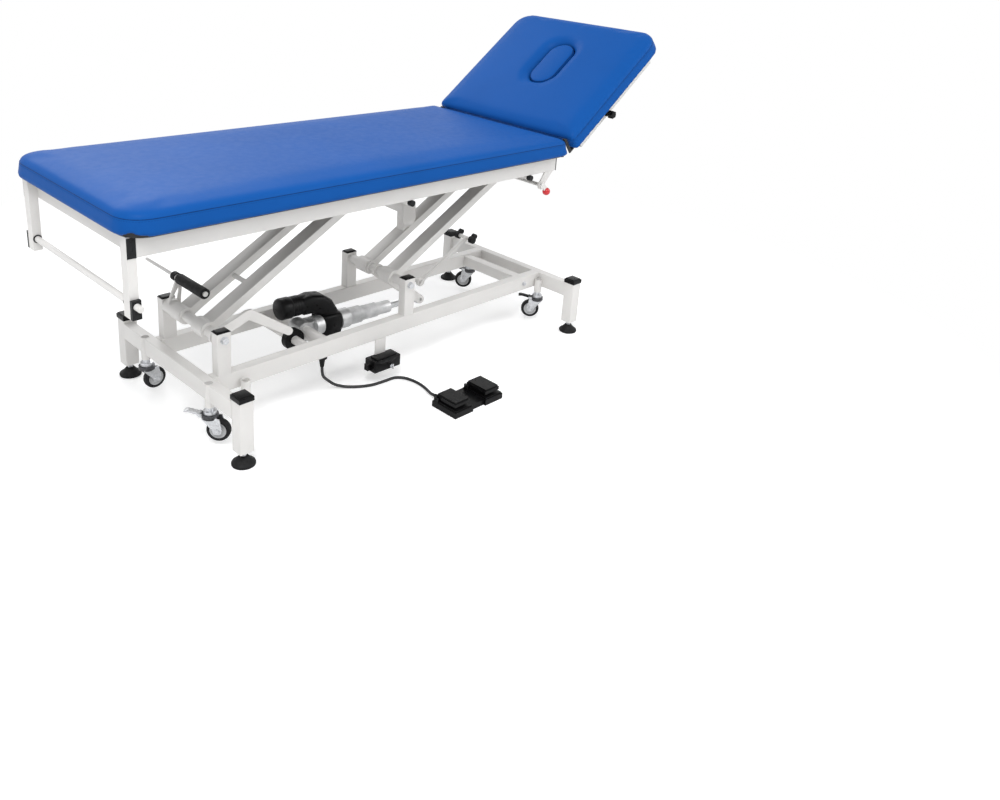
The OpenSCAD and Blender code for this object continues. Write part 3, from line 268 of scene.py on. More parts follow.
def plastic_finish(name="black_plastic", colour=None, rough=(0.26, 0.36), grain=1100.0, gloss=0.16):
    """Moulded plastic with a fine spark-eroded grain."""
    f = Finish(name)
    c = colour or tuple(colours().plastic)
    f.set(Specular_IOR_Level=gloss)
    f.wire(Base_Color=f.blend(f.span(f.noise(12.0), 0.0, 1.0), shade(c, 0.85), shade(c, 1.25)))
    f.wire(Roughness=f.span(f.noise(70.0, 4.0), *rough))
    f.wire(Normal=f.bump(f.noise(grain, 2.0), 0.00014, 0.35))
    return f.mat


def rubber_finish(name="black_rubber", colour=(0.007, 0.007, 0.0075)):
    """Dull moulded rubber with dust in its grain."""
    f = Finish(name)
    f.set(Specular_IOR_Level=0.2)
    dust = f.span(f.noise(55.0, 5.0, 0.65), 0.0, 1.0, 0.4, 0.75)
    f.wire(Base_Color=f.blend(dust, colour, tuple(v * 1.7 + 0.004 for v in colour)))
    f.wire(Roughness=f.span(f.noise(160.0, 3.0), 0.52, 0.7))
    f.wire(Normal=f.bump(f.noise(800.0, 3.0), 0.00025, 0.4))
    return f.mat


def cord_finish():
    """Black cord sheath, matt, with the faint lay of the wires in it."""
    f = Finish("cord_sheath")
    lay = f.noise(320.0, 2.0, coord=f.stretched(1, 1, 2))
    f.wire(Base_Color=f.blend(f.span(lay, 0.0, 1.0), (0.009, 0.009, 0.010), (0.022, 0.022, 0.023)))
    f.wire(Roughness=f.span(f.noise(120.0), 0.38, 0.52))
    f.wire(Normal=f.bump(lay, 0.0003, 0.3))
    return f.mat


def plywood_finish():
    """Black-stained plywood: long grain showing through the stain."""
    f = Finish("stained_plywood")
    grain = f.noise(60.0, 6.0, 0.6, coord=f.stretched(0.12, 1.0, 3.0), distort=0.6)
    f.wire(Base_Color=f.blend(f.span(grain, 0.0, 1.0), (0.010, 0.010, 0.011), (0.030, 0.028, 0.027)))
    f.wire(Roughness=f.span(grain, 0.5, 0.72))
    f.wire(Normal=f.bump(grain, 0.0003, 0.4))
    return f.mat


def ball_finish():
    """Glossy red moulded ball."""
    f = Finish("red_ball")
    c = colours().ball
    f.set(Coat_Weight=0.5, Coat_Roughness=0.08)
    f.wire(Base_Color=f.blend(f.span(f.noise(40.0), 0.0, 1.0), shade(c, 0.9), shade(c, 1.05)))
    f.wire(Roughness=f.span(f.noise(90.0), 0.20, 0.28))
    f.wire(Normal=f.bump(f.noise(300.0), 0.0001, 0.15))
    return f.mat


def finishes():
    """Every finish of the table, made once, by name."""
    if not MADE:
        MADE.update(
            # The welt finish is vinyl darkened as painted shade in the seam's groove
            vinyl=vinyl_finish(), thread=thread_finish(), welt=seam_shade_finish(), paint=paint_finish(),
            zinc=zinc_finish(), chrome=zinc_finish("polished_key", (0.75, 0.76, 0.78), (0.10, 0.20)),
            rod=zinc_finish("actuator_tube", (0.70, 0.71, 0.72), (0.30, 0.42)),
            swivel=zinc_finish("swivel_steel", (0.09, 0.09, 0.095), (0.3, 0.42)),
            casting=casting_finish(), plastic=plastic_finish(),
            motor=plastic_finish("motor_paint", (0.006, 0.006, 0.0065), (0.25, 0.4), 400.0),
            plug=plastic_finish("dark_plugs", (0.020, 0.0205, 0.0215), gloss=0.1),
            # Hinge plates: near-black as painted shade in the hinge gap
            hinge=plastic_finish("black_paint", (0.010, 0.010, 0.011), (0.3, 0.42)),
            hub=plastic_finish("hub_plastic", (0.47, 0.475, 0.48), (0.34, 0.46), gloss=0.5),
            rubber=rubber_finish(), tyre=rubber_finish("black_tyre", (0.010, 0.010, 0.011)),
            cord=cord_finish(), ply=plywood_finish(), ball=ball_finish())
    return MADE


MADE = {}


# ---------------------------------------------------------------- mesh helpers


def piece(mesh, name, *mats, smooth=35.0):
    """A named piece with its finishes, shaded smooth up to an angle."""
    mesh.name = name
    mesh.materials.clear()
    for m in mats:
        mesh.materials.append(m)
    mesh.shade_smooth()
    mesh.set_sharp_from_angle(angle=math.radians(smooth))
    obj = bpy.data.objects.new(name, mesh)
    bpy.context.scene.collection.objects.link(obj)
    return obj


def mesh_of(bm):
    me = bpy.data.meshes.new("work")
    bm.to_mesh(me)
    bm.free()
    return me


def merged(node, flat=0.4):
    """A merged copy of a node's mesh, with its flat faces whole."""
    bm = bmesh.new()
    bm.from_mesh(frame["nodes"][node].data)
    bmesh.ops.remove_doubles(bm, verts=bm.verts, dist=8e-6)
    bmesh.ops.dissolve_degenerate(bm, dist=2e-6, edges=bm.edges)
    if flat:
        bmesh.ops.dissolve_limit(bm, angle_limit=math.radians(flat), verts=bm.verts, edges=bm.edges)
    return bm


def round_edges(bm, width, longer, segments=3, low=50.0, high=130.0):
    """Rounds the outer edges that are longer than a length."""
    picked = []
    for e in bm.edges:
        if len(e.link_faces) != 2 or e.calc_length() < longer or not e.is_convex:
            continue
        if math.radians(low) < e.calc_face_angle(0.0) < math.radians(high):
            picked.append(e)
    if picked:
        bmesh.ops.bevel(
            bm, geom=picked, offset=width, offset_type="OFFSET", segments=segments, profile=0.5,
            affect="EDGES", clamp_overlap=False)
    return bm


def dress(node, mat, width=None, longer=0.055, segments=3):
    """A rounded copy of a node stands for it, in one finish."""
    bm = merged(node)
    if width:
        round_edges(bm, width, longer, segments)
    stand_in(node, bm, mat)


def stand_in(node, bm, mat):
    """A mesh stands for a node and rides its body."""
    obj = piece(mesh_of(bm), node + "_dressed", mat)
    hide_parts(node)
    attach(obj, BODY[node])


def coat(node, mat):
    """The CAD solid keeps its shape and gets a finish."""
    obj = frame["nodes"][node]
    obj.data.materials.clear()
    obj.data.materials.append(mat)


def lathe(bm, profile, origin, axis, steps):
    """Turns a profile of (radius, height) about an axis; its ends lie on the axis or meet."""
    axis = Vector(axis).normalized()
    side = axis.orthogonal().normalized()
    other = axis.cross(side)
    rows = []
    for k in range(steps):
        a = 2 * math.pi * k / steps
        d = side * math.cos(a) + other * math.sin(a)
        rows.append([bm.verts.new(Vector(origin) + d * r + axis * h) for r, h in profile])
    n = len(profile)
    for k in range(steps):
        a, b = rows[k], rows[(k + 1) % steps]
        for i in range(n):
            j = (i + 1) % n
            bm.faces.new((a[i], b[i], b[j], a[j]))
    bmesh.ops.remove_doubles(bm, verts=bm.verts, dist=1e-6)
    bmesh.ops.recalc_face_normals(bm, faces=bm.faces)
    return bm


def sweep(bm, place, stations, sides=28):
    """A rounded box section carried along stations of (point, width, height) in a frame's XZ plane."""
    rings, n = [], len(stations)
    for i, (p, w, h) in enumerate(stations):
        a, b = Vector(stations[max(i - 1, 0)][0]), Vector(stations[min(i + 1, n - 1)][0])
        t = (b - a).normalized()
        up = Vector((0, 1, 0)).cross(t) * -1.0
        ring = []
        for k in range(sides):
            c, q = math.cos(2 * math.pi * k / sides), math.sin(2 * math.pi * k / sides)
            y, z = math.copysign(abs(c) ** 0.55, c) * w / 2, math.copysign(abs(q) ** 0.55, q) * h / 2
            ring.append(bm.verts.new(place @ (Vector(p) + Vector((0, 1, 0)) * y + up * z)))
        rings.append(ring)
    for a, b in zip(rings, rings[1:]):
        for k in range(sides):
            bm.faces.new((a[k], a[(k + 1) % sides], b[(k + 1) % sides], b[k]))
    bm.faces.new(rings[0][::-1])
    bm.faces.new(rings[-1])
    return bm


def tube_mesh(points, radius, closed=False, sides=8):
    """A tube along points, its section carried without twist."""
    pts = [Vector(p) for p in points]
    n = len(pts)
    bm = bmesh.new()
    rings, normal = [], None
    for i, p in enumerate(pts):
        a = pts[(i - 1) % n] if closed else pts[max(i - 1, 0)]
        b = pts[(i + 1) % n] if closed else pts[min(i + 1, n - 1)]
        t = (b - a).normalized()
        normal = t.orthogonal() if normal is None else normal - t * normal.dot(t)
        normal.normalize()
        w = t.cross(normal)
        turns = [s * 2 * math.pi / sides for s in range(sides)]
        rings.append([bm.verts.new(p + radius * (normal * math.cos(a) + w * math.sin(a))) for a in turns])
    for i in range(n if closed else n - 1):
        a, b = rings[i], rings[(i + 1) % n]
        for s in range(sides):
            bm.faces.new((a[s], a[(s + 1) % sides], b[(s + 1) % sides], b[s]))
    if not closed:
        bm.faces.new(rings[0][::-1])
        bm.faces.new(rings[-1])
    bmesh.ops.recalc_face_normals(bm, faces=bm.faces)
    return mesh_of(bm)


def polyline(points, closed=False):
    """A plain curve through points, for a node tree to work on."""
    cu = bpy.data.curves.new("line", "CURVE")
    cu.dimensions = "3D"
    sp = cu.splines.new("POLY")
    sp.points.add(len(points) - 1)
    for q, p in zip(sp.points, points):
        q.co = (*p, 1.0)
    sp.use_cyclic_u = closed
    obj = bpy.data.objects.new("line", cu)
    bpy.context.scene.collection.objects.link(obj)
    return obj


# ---------------------------------------------------------------- node trees


def new_tree(name, inputs):
    """A geometry node tree with named inputs: {name: (socket type, default)}."""
    tree = bpy.data.node_groups.new(name, "GeometryNodeTree")
    tree.interface.new_socket("Geometry", in_out="INPUT", socket_type="NodeSocketGeometry")
    for label, (kind, value) in inputs.items():
        s = tree.interface.new_socket(label, in_out="INPUT", socket_type=kind)
        if value is not None:
            s.default_value = value
    tree.interface.new_socket("Geometry", in_out="OUTPUT", socket_type="NodeSocketGeometry")
    return tree, tree.nodes.new("NodeGroupInput"), tree.nodes.new("NodeGroupOutput")


def grown(obj, tree, name, values):
    """Runs a node tree on an object and gives the plain mesh that comes out."""
    mod = obj.modifiers.new("grow", "NODES")
    mod.node_group = tree
    for item in tree.interface.items_tree:
        if item.item_type == "SOCKET" and item.in_out == "INPUT" and item.name in values:
            mod[item.identifier] = values[item.name]
    bpy.context.view_layer.update()
    dg = bpy.context.evaluated_depsgraph_get()
    me = bpy.data.meshes.new_from_object(obj.evaluated_get(dg), depsgraph=dg)
    obj.modifiers.remove(mod)
    bpy.data.objects.remove(obj)
    me.materials.clear()
    return piece(me, name, values["Material"], smooth=60.0)


def stitch_tree():
    """Short stitches in a row along a curve, each sunk at its ends."""
    tree, gin, gout = new_tree("StitchRow", {
        "Pitch": ("NodeSocketFloat", 0.0065), "Stitch": ("NodeSocketFloat", 0.0046),
        "Thread": ("NodeSocketFloat", 0.0005), "Material": ("NodeSocketMaterial", None)})
    n, l = tree.nodes, tree.links
    even = n.new("GeometryNodeResampleCurve")
    even.mode = "LENGTH"
    bead = n.new("GeometryNodeMeshUVSphere")
    bead.inputs["Segments"].default_value = 6
    bead.inputs["Rings"].default_value = 5
    bead.inputs["Radius"].default_value = 0.5
    size = n.new("ShaderNodeCombineXYZ")
    wide = n.new("ShaderNodeMath")
    wide.operation = "MULTIPLY"
    wide.inputs[1].default_value = 2.0
    tangent = n.new("GeometryNodeInputTangent")
    turn = n.new("FunctionNodeAlignRotationToVector")
    turn.axis = "Z"
    put = n.new("GeometryNodeInstanceOnPoints")
    real = n.new("GeometryNodeRealizeInstances")
    paint = n.new("GeometryNodeSetMaterial")
    l.new(gin.outputs["Geometry"], even.inputs["Curve"])
    l.new(gin.outputs["Pitch"], even.inputs["Length"])
    l.new(even.outputs["Curve"], put.inputs["Points"])
    l.new(bead.outputs["Mesh"], put.inputs["Instance"])
    l.new(tangent.outputs["Tangent"], turn.inputs["Vector"])
    l.new(turn.outputs["Rotation"], put.inputs["Rotation"])
    l.new(gin.outputs["Thread"], wide.inputs[0])
    l.new(wide.outputs[0], size.inputs["X"])
    l.new(wide.outputs[0], size.inputs["Y"])
    l.new(gin.outputs["Stitch"], size.inputs["Z"])
    l.new(size.outputs["Vector"], put.inputs["Scale"])
    l.new(put.outputs["Instances"], real.inputs["Geometry"])
    l.new(real.outputs["Geometry"], paint.inputs["Geometry"])
    l.new(gin.outputs["Material"], paint.inputs["Material"])
    l.new(paint.outputs["Geometry"], gout.inputs["Geometry"])
    return tree


def dome_tree():
    """Low domed screw heads at the points of a mesh."""
    tree, gin, gout = new_tree("ScrewHeads", {
        "Head": ("NodeSocketFloat", 0.004), "Rise": ("NodeSocketFloat", 0.4),
        "Material": ("NodeSocketMaterial", None)})
    n, l = tree.nodes, tree.links
    head = n.new("GeometryNodeMeshUVSphere")
    head.inputs["Segments"].default_value = 14
    head.inputs["Rings"].default_value = 7
    flat = n.new("GeometryNodeTransform")
    size = n.new("ShaderNodeCombineXYZ")
    size.inputs["X"].default_value = 1.0
    size.inputs["Y"].default_value = 1.0
    put = n.new("GeometryNodeInstanceOnPoints")
    real = n.new("GeometryNodeRealizeInstances")
    paint = n.new("GeometryNodeSetMaterial")
    l.new(gin.outputs["Head"], head.inputs["Radius"])
    l.new(gin.outputs["Rise"], size.inputs["Z"])
    l.new(head.outputs["Mesh"], flat.inputs["Geometry"])
    l.new(size.outputs["Vector"], flat.inputs["Scale"])
    l.new(gin.outputs["Geometry"], put.inputs["Points"])
    l.new(flat.outputs["Geometry"], put.inputs["Instance"])
    l.new(put.outputs["Instances"], real.inputs["Geometry"])
    l.new(real.outputs["Geometry"], paint.inputs["Geometry"])
    l.new(gin.outputs["Material"], paint.inputs["Material"])
    l.new(paint.outputs["Geometry"], gout.inputs["Geometry"])
    return tree


# ---------------------------------------------------------------- cushions


def flat_place():
    """The main section's own frame: X back from the hinge end, Z up from the underside."""
    lo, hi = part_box("main_cushion")
    return Matrix.Translation((hi[0], 0, lo[2])) @ Matrix.Rotation(math.pi, 4, "Z")


def head_place():
    """The head section's own frame: X along it from its hinge end, Z square to it from its underside."""
    pos = Vector(JOINTS["head_hinge"]["pos_m"])
    return Matrix.Translation(pos) @ Matrix.Rotation(-HEAD_TILT, 4, "Y") @ Matrix.Translation((0.007, 0, -0.046))


HEAD_TILT = math.radians(37.0)
HALF_W = 0.325
MAIN_LEN = 1.477
HEAD_LEN = 0.545
# Corner radii of both cushions, at the hinge end and at the far end
HINGE_CORNER = 0.010
FAR_CORNER = 0.070
SEAM_Z = 0.0400
# The face hole: its middle along the head section, its length and width, and the plug's
HOLE_X = 0.310
HOLE_SIZE = (0.210, 0.110)
PLUG_SIZE = (0.205, 0.105)
# How far the skin dips towards the hole, and over what width
DIP_DEPTH = 0.0075
DIP_WIDTH = 0.026


def outline(length, r0, r1, step):
    """Points and outward directions round a cushion's edge, in its own frame."""
    corners = [
        (length - r1, HALF_W - r1, r1, 0), (r0, HALF_W - r0, r0, 90),
        (r0, -HALF_W + r0, r0, 180), (length - r1, -HALF_W + r1, r1, 270)]
    path = []
    for cx, cy, r, a0 in corners:
        n = max(3, round(r * math.pi / 2 / step))
        for i in range(n + 1):
            a = math.radians(a0 + 90 * i / n)
            out_way = Vector((math.cos(a), math.sin(a), 0))
            path.append((Vector((cx + r * out_way.x, cy + r * out_way.y, 0)), out_way))
    out = []
    for i, (p, d) in enumerate(path):
        q, e = path[(i + 1) % len(path)]
        n = max(1, round((q - p).length / step))
        for k in range(n):
            t = k / n
            out.append((p.lerp(q, t), d.lerp(e, t).normalized()))
    return out


def relax(bm, verts, factor):
    bmesh.ops.smooth_vert(bm, verts=verts, factor=factor, use_axis_x=True, use_axis_y=True, use_axis_z=True)


def swollen(node, name, place, voxel, cap, pressure=4.0, soften=18, dip=None):
    """A cushion swollen by cloth simulation from its solid, its underside held."""
    bm = merged(node, flat=0)
    obj = piece(mesh_of(bm), name, finishes()["vinyl"], smooth=180.0)
    mod = obj.modifiers.new("skin", "REMESH")
    mod.mode = "VOXEL"
    mod.voxel_size = voxel
    mod.use_smooth_shade = True
    apply_all(obj)
    local = place.inverted()
    bm = bmesh.new()
    bm.from_mesh(obj.data)
    for _ in range(soften):
        relax(bm, [v for v in bm.verts if (local @ v.co).z > 0.014], 0.5)
    if dip:
        up = place.to_3x3() @ Vector((0, 0, 1))
        for v in bm.verts:
            q = local @ v.co
            if q.z > SEAM_Z:
                v.co -= up * dip(q)
    bm.to_mesh(obj.data)
    bm.free()
    rest = [v.co.copy() for v in obj.data.vertices]
    held = obj.vertex_groups.new(name="held")
    held.add([v.index for v in obj.data.vertices if (local @ v.co).z < 0.012], 1.0, "REPLACE")
    mod = obj.modifiers.new("swell", "CLOTH")
    s = mod.settings
    s.quality = 4
    s.use_pressure = True
    s.uniform_pressure_force = pressure
    s.vertex_group_mass = "held"
    s.effector_weights.gravity = 0.0
    mod.collision_settings.use_collision = False
    mod.point_cache.frame_start = 1
    mod.point_cache.frame_end = 20
    scene = bpy.context.scene
    for f in range(1, 21):
        scene.frame_set(f)
    dg = bpy.context.evaluated_depsgraph_get()
    me = obj.evaluated_get(dg).to_mesh()
    moved = [v.co.copy() for v in me.vertices]
    obj.evaluated_get(dg).to_mesh_clear()
    obj.modifiers.clear()
    scene.frame_set(1)
    for v, a, b in zip(obj.data.vertices, rest, moved):
        d = b - a
        v.co = a + d * min(1.0, cap / max(d.length, 1e-9))
    obj.vertex_groups.clear()
    bm = bmesh.new()
    bm.from_mesh(obj.data)
    for _ in range(9):
        relax(bm, bm.verts, 0.4)
    bm.to_mesh(obj.data)
    bm.free()
    obj.data.materials.clear()
    obj.data.materials.append(finishes()["vinyl"])
    obj.data.shade_smooth()
    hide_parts(node)
    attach(obj, BODY[node])
    return obj


def apply_all(obj):
    """Applies an object's modifiers to its mesh."""
    bpy.context.view_layer.update()
    dg = bpy.context.evaluated_depsgraph_get()
    me = bpy.data.meshes.new_from_object(obj.evaluated_get(dg), depsgraph=dg)
    obj.modifiers.clear()
    old = obj.data
    obj.data = me
    bpy.data.meshes.remove(old)


def seam_line(obj, place, ring, z, out):
    """Where a level of the cushion's side meets its skin, going round it."""
    bvh = BVHTree.FromPolygons([v.co for v in obj.data.vertices], [p.vertices for p in obj.data.polygons])
    turn = place.to_3x3()
    line = []
    for p, d in ring:
        start = place @ (p + d * 0.05 + Vector((0, 0, z)))
        hit, _, _, _ = bvh.ray_cast(start, turn @ -d, 0.12)
        if hit is not None:
            line.append(hit + (turn @ d) * out)
    return line


def sew(obj, body, place, length, name):
    """The welt in a cushion's seam and the row of stitches under it."""
    s = sizes()
    ring = outline(length, HINGE_CORNER, FAR_CORNER, 0.012)
    welt = seam_line(obj, place, ring, SEAM_Z, -0.0002)
    # The welt's dark finish is painted shade in the seam's groove
    w = piece(tube_mesh(welt, s.seam, closed=True), name + "_welt", finishes()["welt"], smooth=60)
    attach(w, body)
    row = seam_line(obj, place, ring, SEAM_Z - 0.0042, 0.0)
    st = grown(polyline(row, closed=True), stitch_tree(), name + "_stitches", {
        "Pitch": s.stitch, "Stitch": s.stitch * 0.68, "Thread": 0.00042, "Material": finishes()["thread"]})
    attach(st, body)


class TABLE_OT_main_cushion(bpy.types.Operator):
    """Swell the main cushion and sew its seam"""

    bl_idname = "table.main_cushion"
    bl_label = "Main cushion"

    def execute(self, context):
        place = flat_place()
        obj = swollen("main_cushion", "main_pad", place, sizes().voxel, sizes().swell)
        sew(obj, "top", place, MAIN_LEN, "main")
        return {"FINISHED"}


def stadium_distance(q, length, width, at):
    """Distance of a point from a slot-shaped hole's edge, inside negative."""
    half = (length - width) / 2
    x = max(abs(q.x - at) - half, 0.0)
    return math.hypot(x, q.y) - width / 2


class TABLE_OT_head_cushion(bpy.types.Operator):
    """Swell the head cushion, sew its seam and fit the face plug"""

    bl_idname = "table.head_cushion"
    bl_label = "Head cushion"

    def execute(self, context):
        place = head_place()

        def dip(q):
            d = stadium_distance(q, *HOLE_SIZE, HOLE_X)
            return 0.0 if d > DIP_WIDTH else DIP_DEPTH * (1 - max(d, 0.0) / DIP_WIDTH) ** 2

        obj = swollen("head_cushion", "head_pad", place, 0.0058, sizes().swell * 0.8, dip=dip)
        sew(obj, "head", place, HEAD_LEN, "head")
        self.plug(place)
        return {"FINISHED"}

    def plug(self, place):
        """The plug: a slot-shaped pad with a soft edge and a shallow crown."""
        lo, hi = -0.003 + 0.014 + 0.0004, 0.0535
        rings = []
        for inset, z in [
                (0.016, lo), (0.004, lo), (0.001, lo + 0.003), (0.0, lo + 0.012), (0.0, hi - 0.010),
                (0.0006, hi - 0.006), (0.003, hi - 0.0025), (0.007, hi - 0.0008), (0.013, hi),
                (0.022, hi + 0.0008), (0.034, hi + 0.0014), (0.046, hi + 0.0017)]:
            rings.append(self.slot_ring(inset, z))
        bm = bmesh.new()
        rows = [[bm.verts.new(place @ v) for v in r] for r in rings]
        n = len(rows[0])
        for a, b in zip(rows, rows[1:]):
            for i in range(n):
                bm.faces.new((a[i], a[(i + 1) % n], b[(i + 1) % n], b[i]))
        bm.faces.new(rows[0][::-1])
        bm.faces.new(rows[-1])
        bmesh.ops.recalc_face_normals(bm, faces=bm.faces)
        obj = piece(mesh_of(bm), "face_pad", finishes()["vinyl"], smooth=60)
        mod = obj.modifiers.new("soft", "SUBSURF")
        mod.levels = mod.render_levels = 2
        apply_all(obj)
        obj.data.shade_smooth()
        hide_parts("face_plug")
        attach(obj, "plug")
        welt = [place @ v for v in self.slot_ring(0.002, hi - 0.0030)]
        # The plug's welt takes the same dark finish: painted shade at the plug's seam
        w = piece(tube_mesh(welt, 0.0008, closed=True), "face_welt", finishes()["welt"], smooth=60)
        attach(w, "plug")

    def slot_ring(self, inset, z):
        """The plug's outline at a height, drawn in by an inset."""
        length, width = (side - 2 * inset for side in PLUG_SIZE)
        half, r = (length - width) / 2, width / 2
        ring = []
        for cx, a0 in ((half, -90), (-half, 90)):
            for i in range(17):
                a = math.radians(a0 + 180 * i / 16)
                ring.append(Vector((cx + r * math.cos(a), r * math.sin(a), z)) + Vector((HOLE_X, 0, 0)))
        return ring


# ---------------------------------------------------------------- painted frame


ROUNDED_TUBES = {
    "side_rail_near": 0.06, "side_rail_far": 0.06, "foot_cross_bar": 0.06, "head_cross_bar": 0.06,
    "inner_cross_tubes": 0.06, "legs": 0.06, "posts": 0.06, "castor_tubes": 0.2, "foot_arms": 0.08,
    "head_arms": 0.08, "top_rail_near": 0.06, "top_rail_far": 0.06, "top_cross_rails": 0.06,
    "head_frame": 0.06, "lift_lever": 0.04, "lift_link": 0.04, "pedal_bar": 0.06,
    "release_lever": 0.03,
}


class TABLE_OT_frame(bpy.types.Operator):
    """Round the tubes' corners and coat them"""

    bl_idname = "table.frame"
    bl_label = "Painted frame"

    def execute(self, context):
        f = finishes()
        for node, longer in ROUNDED_TUBES.items():
            w = sizes().edge if longer >= 0.06 else 0.0012
            dress(node, f["paint"], w, longer)
        dress("bent_beam", f["paint"], 0.006, 0.05, segments=4)
        coat("roll_uprights", f["paint"])
        return {"FINISHED"}


# A board's edges through its thickness are shorter than this, and its far corners are rounded so far
SHORT_EDGE = 0.03
BOARD_CORNER = 0.056
# The screws' distance from the middle line, their number a side and the first one's distance from an end
SCREW_Y = 0.2705
SCREWS = 6
SCREW_END = 0.12


class TABLE_OT_caps(bpy.types.Operator):
    """Black caps, boards, plugs and small fittings, and hinge plates painted black as shade"""

    bl_idname = "table.caps"
    bl_label = "Caps and boards"

    def execute(self, context):
        f = finishes()
        dress("end_caps", f["plastic"], 0.0015, 0.02)
        self.board("main_board", flat_place(), f["ply"])
        self.board("head_board", head_place(), f["ply"])
        # The hinge plates are painted black as shade: they stand in the shadow of the hinge gap
        dress("hinge_plates", f["hinge"], 0.0006, 0.01)
        dress("top_plugs", f["plug"], 0.0008, 0.013)
        dress("frame_bolts", f["zinc"])
        dress("head_knob", f["plastic"])
        dress("release_ball", f["ball"])
        dress("roll_rod", f["paint"])
        dress("lever_grip", f["rubber"])
        dress("pedal_pads", f["rubber"])
        dress("strain_relief", f["plastic"])
        self.board_screws(f)
        return {"FINISHED"}

    def board(self, node, place, mat):
        """A board whose far corners are rounded like the cushion above it."""
        bm = merged(node)
        local = place.inverted()
        length = max((local @ v.co).x for v in bm.verts)
        short = [
            e for e in bm.edges
            if e.calc_length() < SHORT_EDGE and min((local @ v.co).x for v in e.verts) > length * 0.9
            and abs((local @ e.verts[0].co).y) > HALF_W * 0.85]
        bmesh.ops.bevel(
            bm, geom=short, offset=BOARD_CORNER, offset_type="OFFSET", segments=8, profile=0.5,
            affect="EDGES", clamp_overlap=False)
        stand_in(node, bm, mat)

    def board_screws(self, f):
        """Screw heads under the boards' edges, along the rails."""
        lo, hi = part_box("main_board")
        bm = bmesh.new()
        for y in (-SCREW_Y, SCREW_Y):
            for k in range(SCREWS):
                x = lo[0] + SCREW_END + k * (hi[0] - lo[0] - 2 * SCREW_END) / (SCREWS - 1)
                bm.verts.new((x, y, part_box("top_rail_near")[0][2]))
        obj = bpy.data.objects.new("points", mesh_of(bm))
        bpy.context.scene.collection.objects.link(obj)
        screws = grown(obj, dome_tree(), "rail_screws", {"Head": 0.0045, "Rise": 0.45, "Material": f["zinc"]})
        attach(screws, "top")


# ---------------------------------------------------------------- castors and feet


class TABLE_OT_castors(bpy.types.Operator):
    """Forks, brakes, stems, tyres and hubs of the castors"""

    bl_idname = "table.castors"
    bl_label = "Castors"

    def execute(self, context):
        f = finishes()
        dress("castor_stems", f["zinc"])
        for i in range(1, 5):
            dress("castor_fork_%d" % i, f["zinc"], 0.0007, 0.012, segments=2)
            self.wheel(i, f)
            self.swivel(i, f)
        dress("castor_brake_1", f["zinc"], 0.0008, 0.015, segments=2)
        dress("castor_brake_3", f["plastic"], 0.0008, 0.015, segments=2)
        dress("castor_brake_4", f["plastic"], 0.0008, 0.015, segments=2)
        return {"FINISHED"}

    def swivel(self, i, f):
        """The dark swivel head on top of a fork."""
        mesh = bpy.data.objects["castor_fork_%d_dressed" % i].data
        at = Vector(JOINTS["swivel_%d" % i]["pos_m"])
        mesh.materials.append(f["swivel"])
        for p in mesh.polygons:
            if p.center.z > 0.0792 and (p.center.xy - at.xy).length < 0.0225:
                p.material_index = 1

    def wheel(self, i, f):
        """A tyre with a rounded tread and a hub with a dished face."""
        j = JOINTS["wheel_spin_%d" % i]
        at, axis = Vector(j["pos_m"]), Vector(j["axis"])
        tyre = lathe(bmesh.new(), [
            (0.0222, -0.0094), (0.0255, -0.0103), (0.0288, -0.0098), (0.0309, -0.0078), (0.0318, -0.0046),
            (0.0320, 0.0), (0.0318, 0.0046), (0.0309, 0.0078), (0.0288, 0.0098), (0.0255, 0.0103),
            (0.0222, 0.0094)], at, axis, steps=72)
        t = piece(mesh_of(tyre), "castor_tyre_%d" % i, f["tyre"], smooth=40)
        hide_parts("castor_wheel_%d" % i)
        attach(t, "wheel_%d" % i)
        hub = lathe(bmesh.new(), [
            (0.00406, -0.0110), (0.0086, -0.0110), (0.0092, -0.0104), (0.0098, -0.0064), (0.0118, -0.0056),
            (0.0168, -0.0062), (0.0180, -0.0078), (0.0204, -0.0092), (0.0218, -0.0096), (0.0222, -0.0090),
            (0.0222, 0.0090), (0.0218, 0.0096), (0.0204, 0.0092), (0.0180, 0.0078), (0.0168, 0.0062),
            (0.0118, 0.0056), (0.0098, 0.0064), (0.0092, 0.0104), (0.0086, 0.0110), (0.00406, 0.0110)],
            at, axis, steps=64)
        h = piece(mesh_of(hub), "castor_hub_%d" % i, f["hub"], smooth=40)
        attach(h, "wheel_%d" % i)


THREAD_PITCH = 0.0015


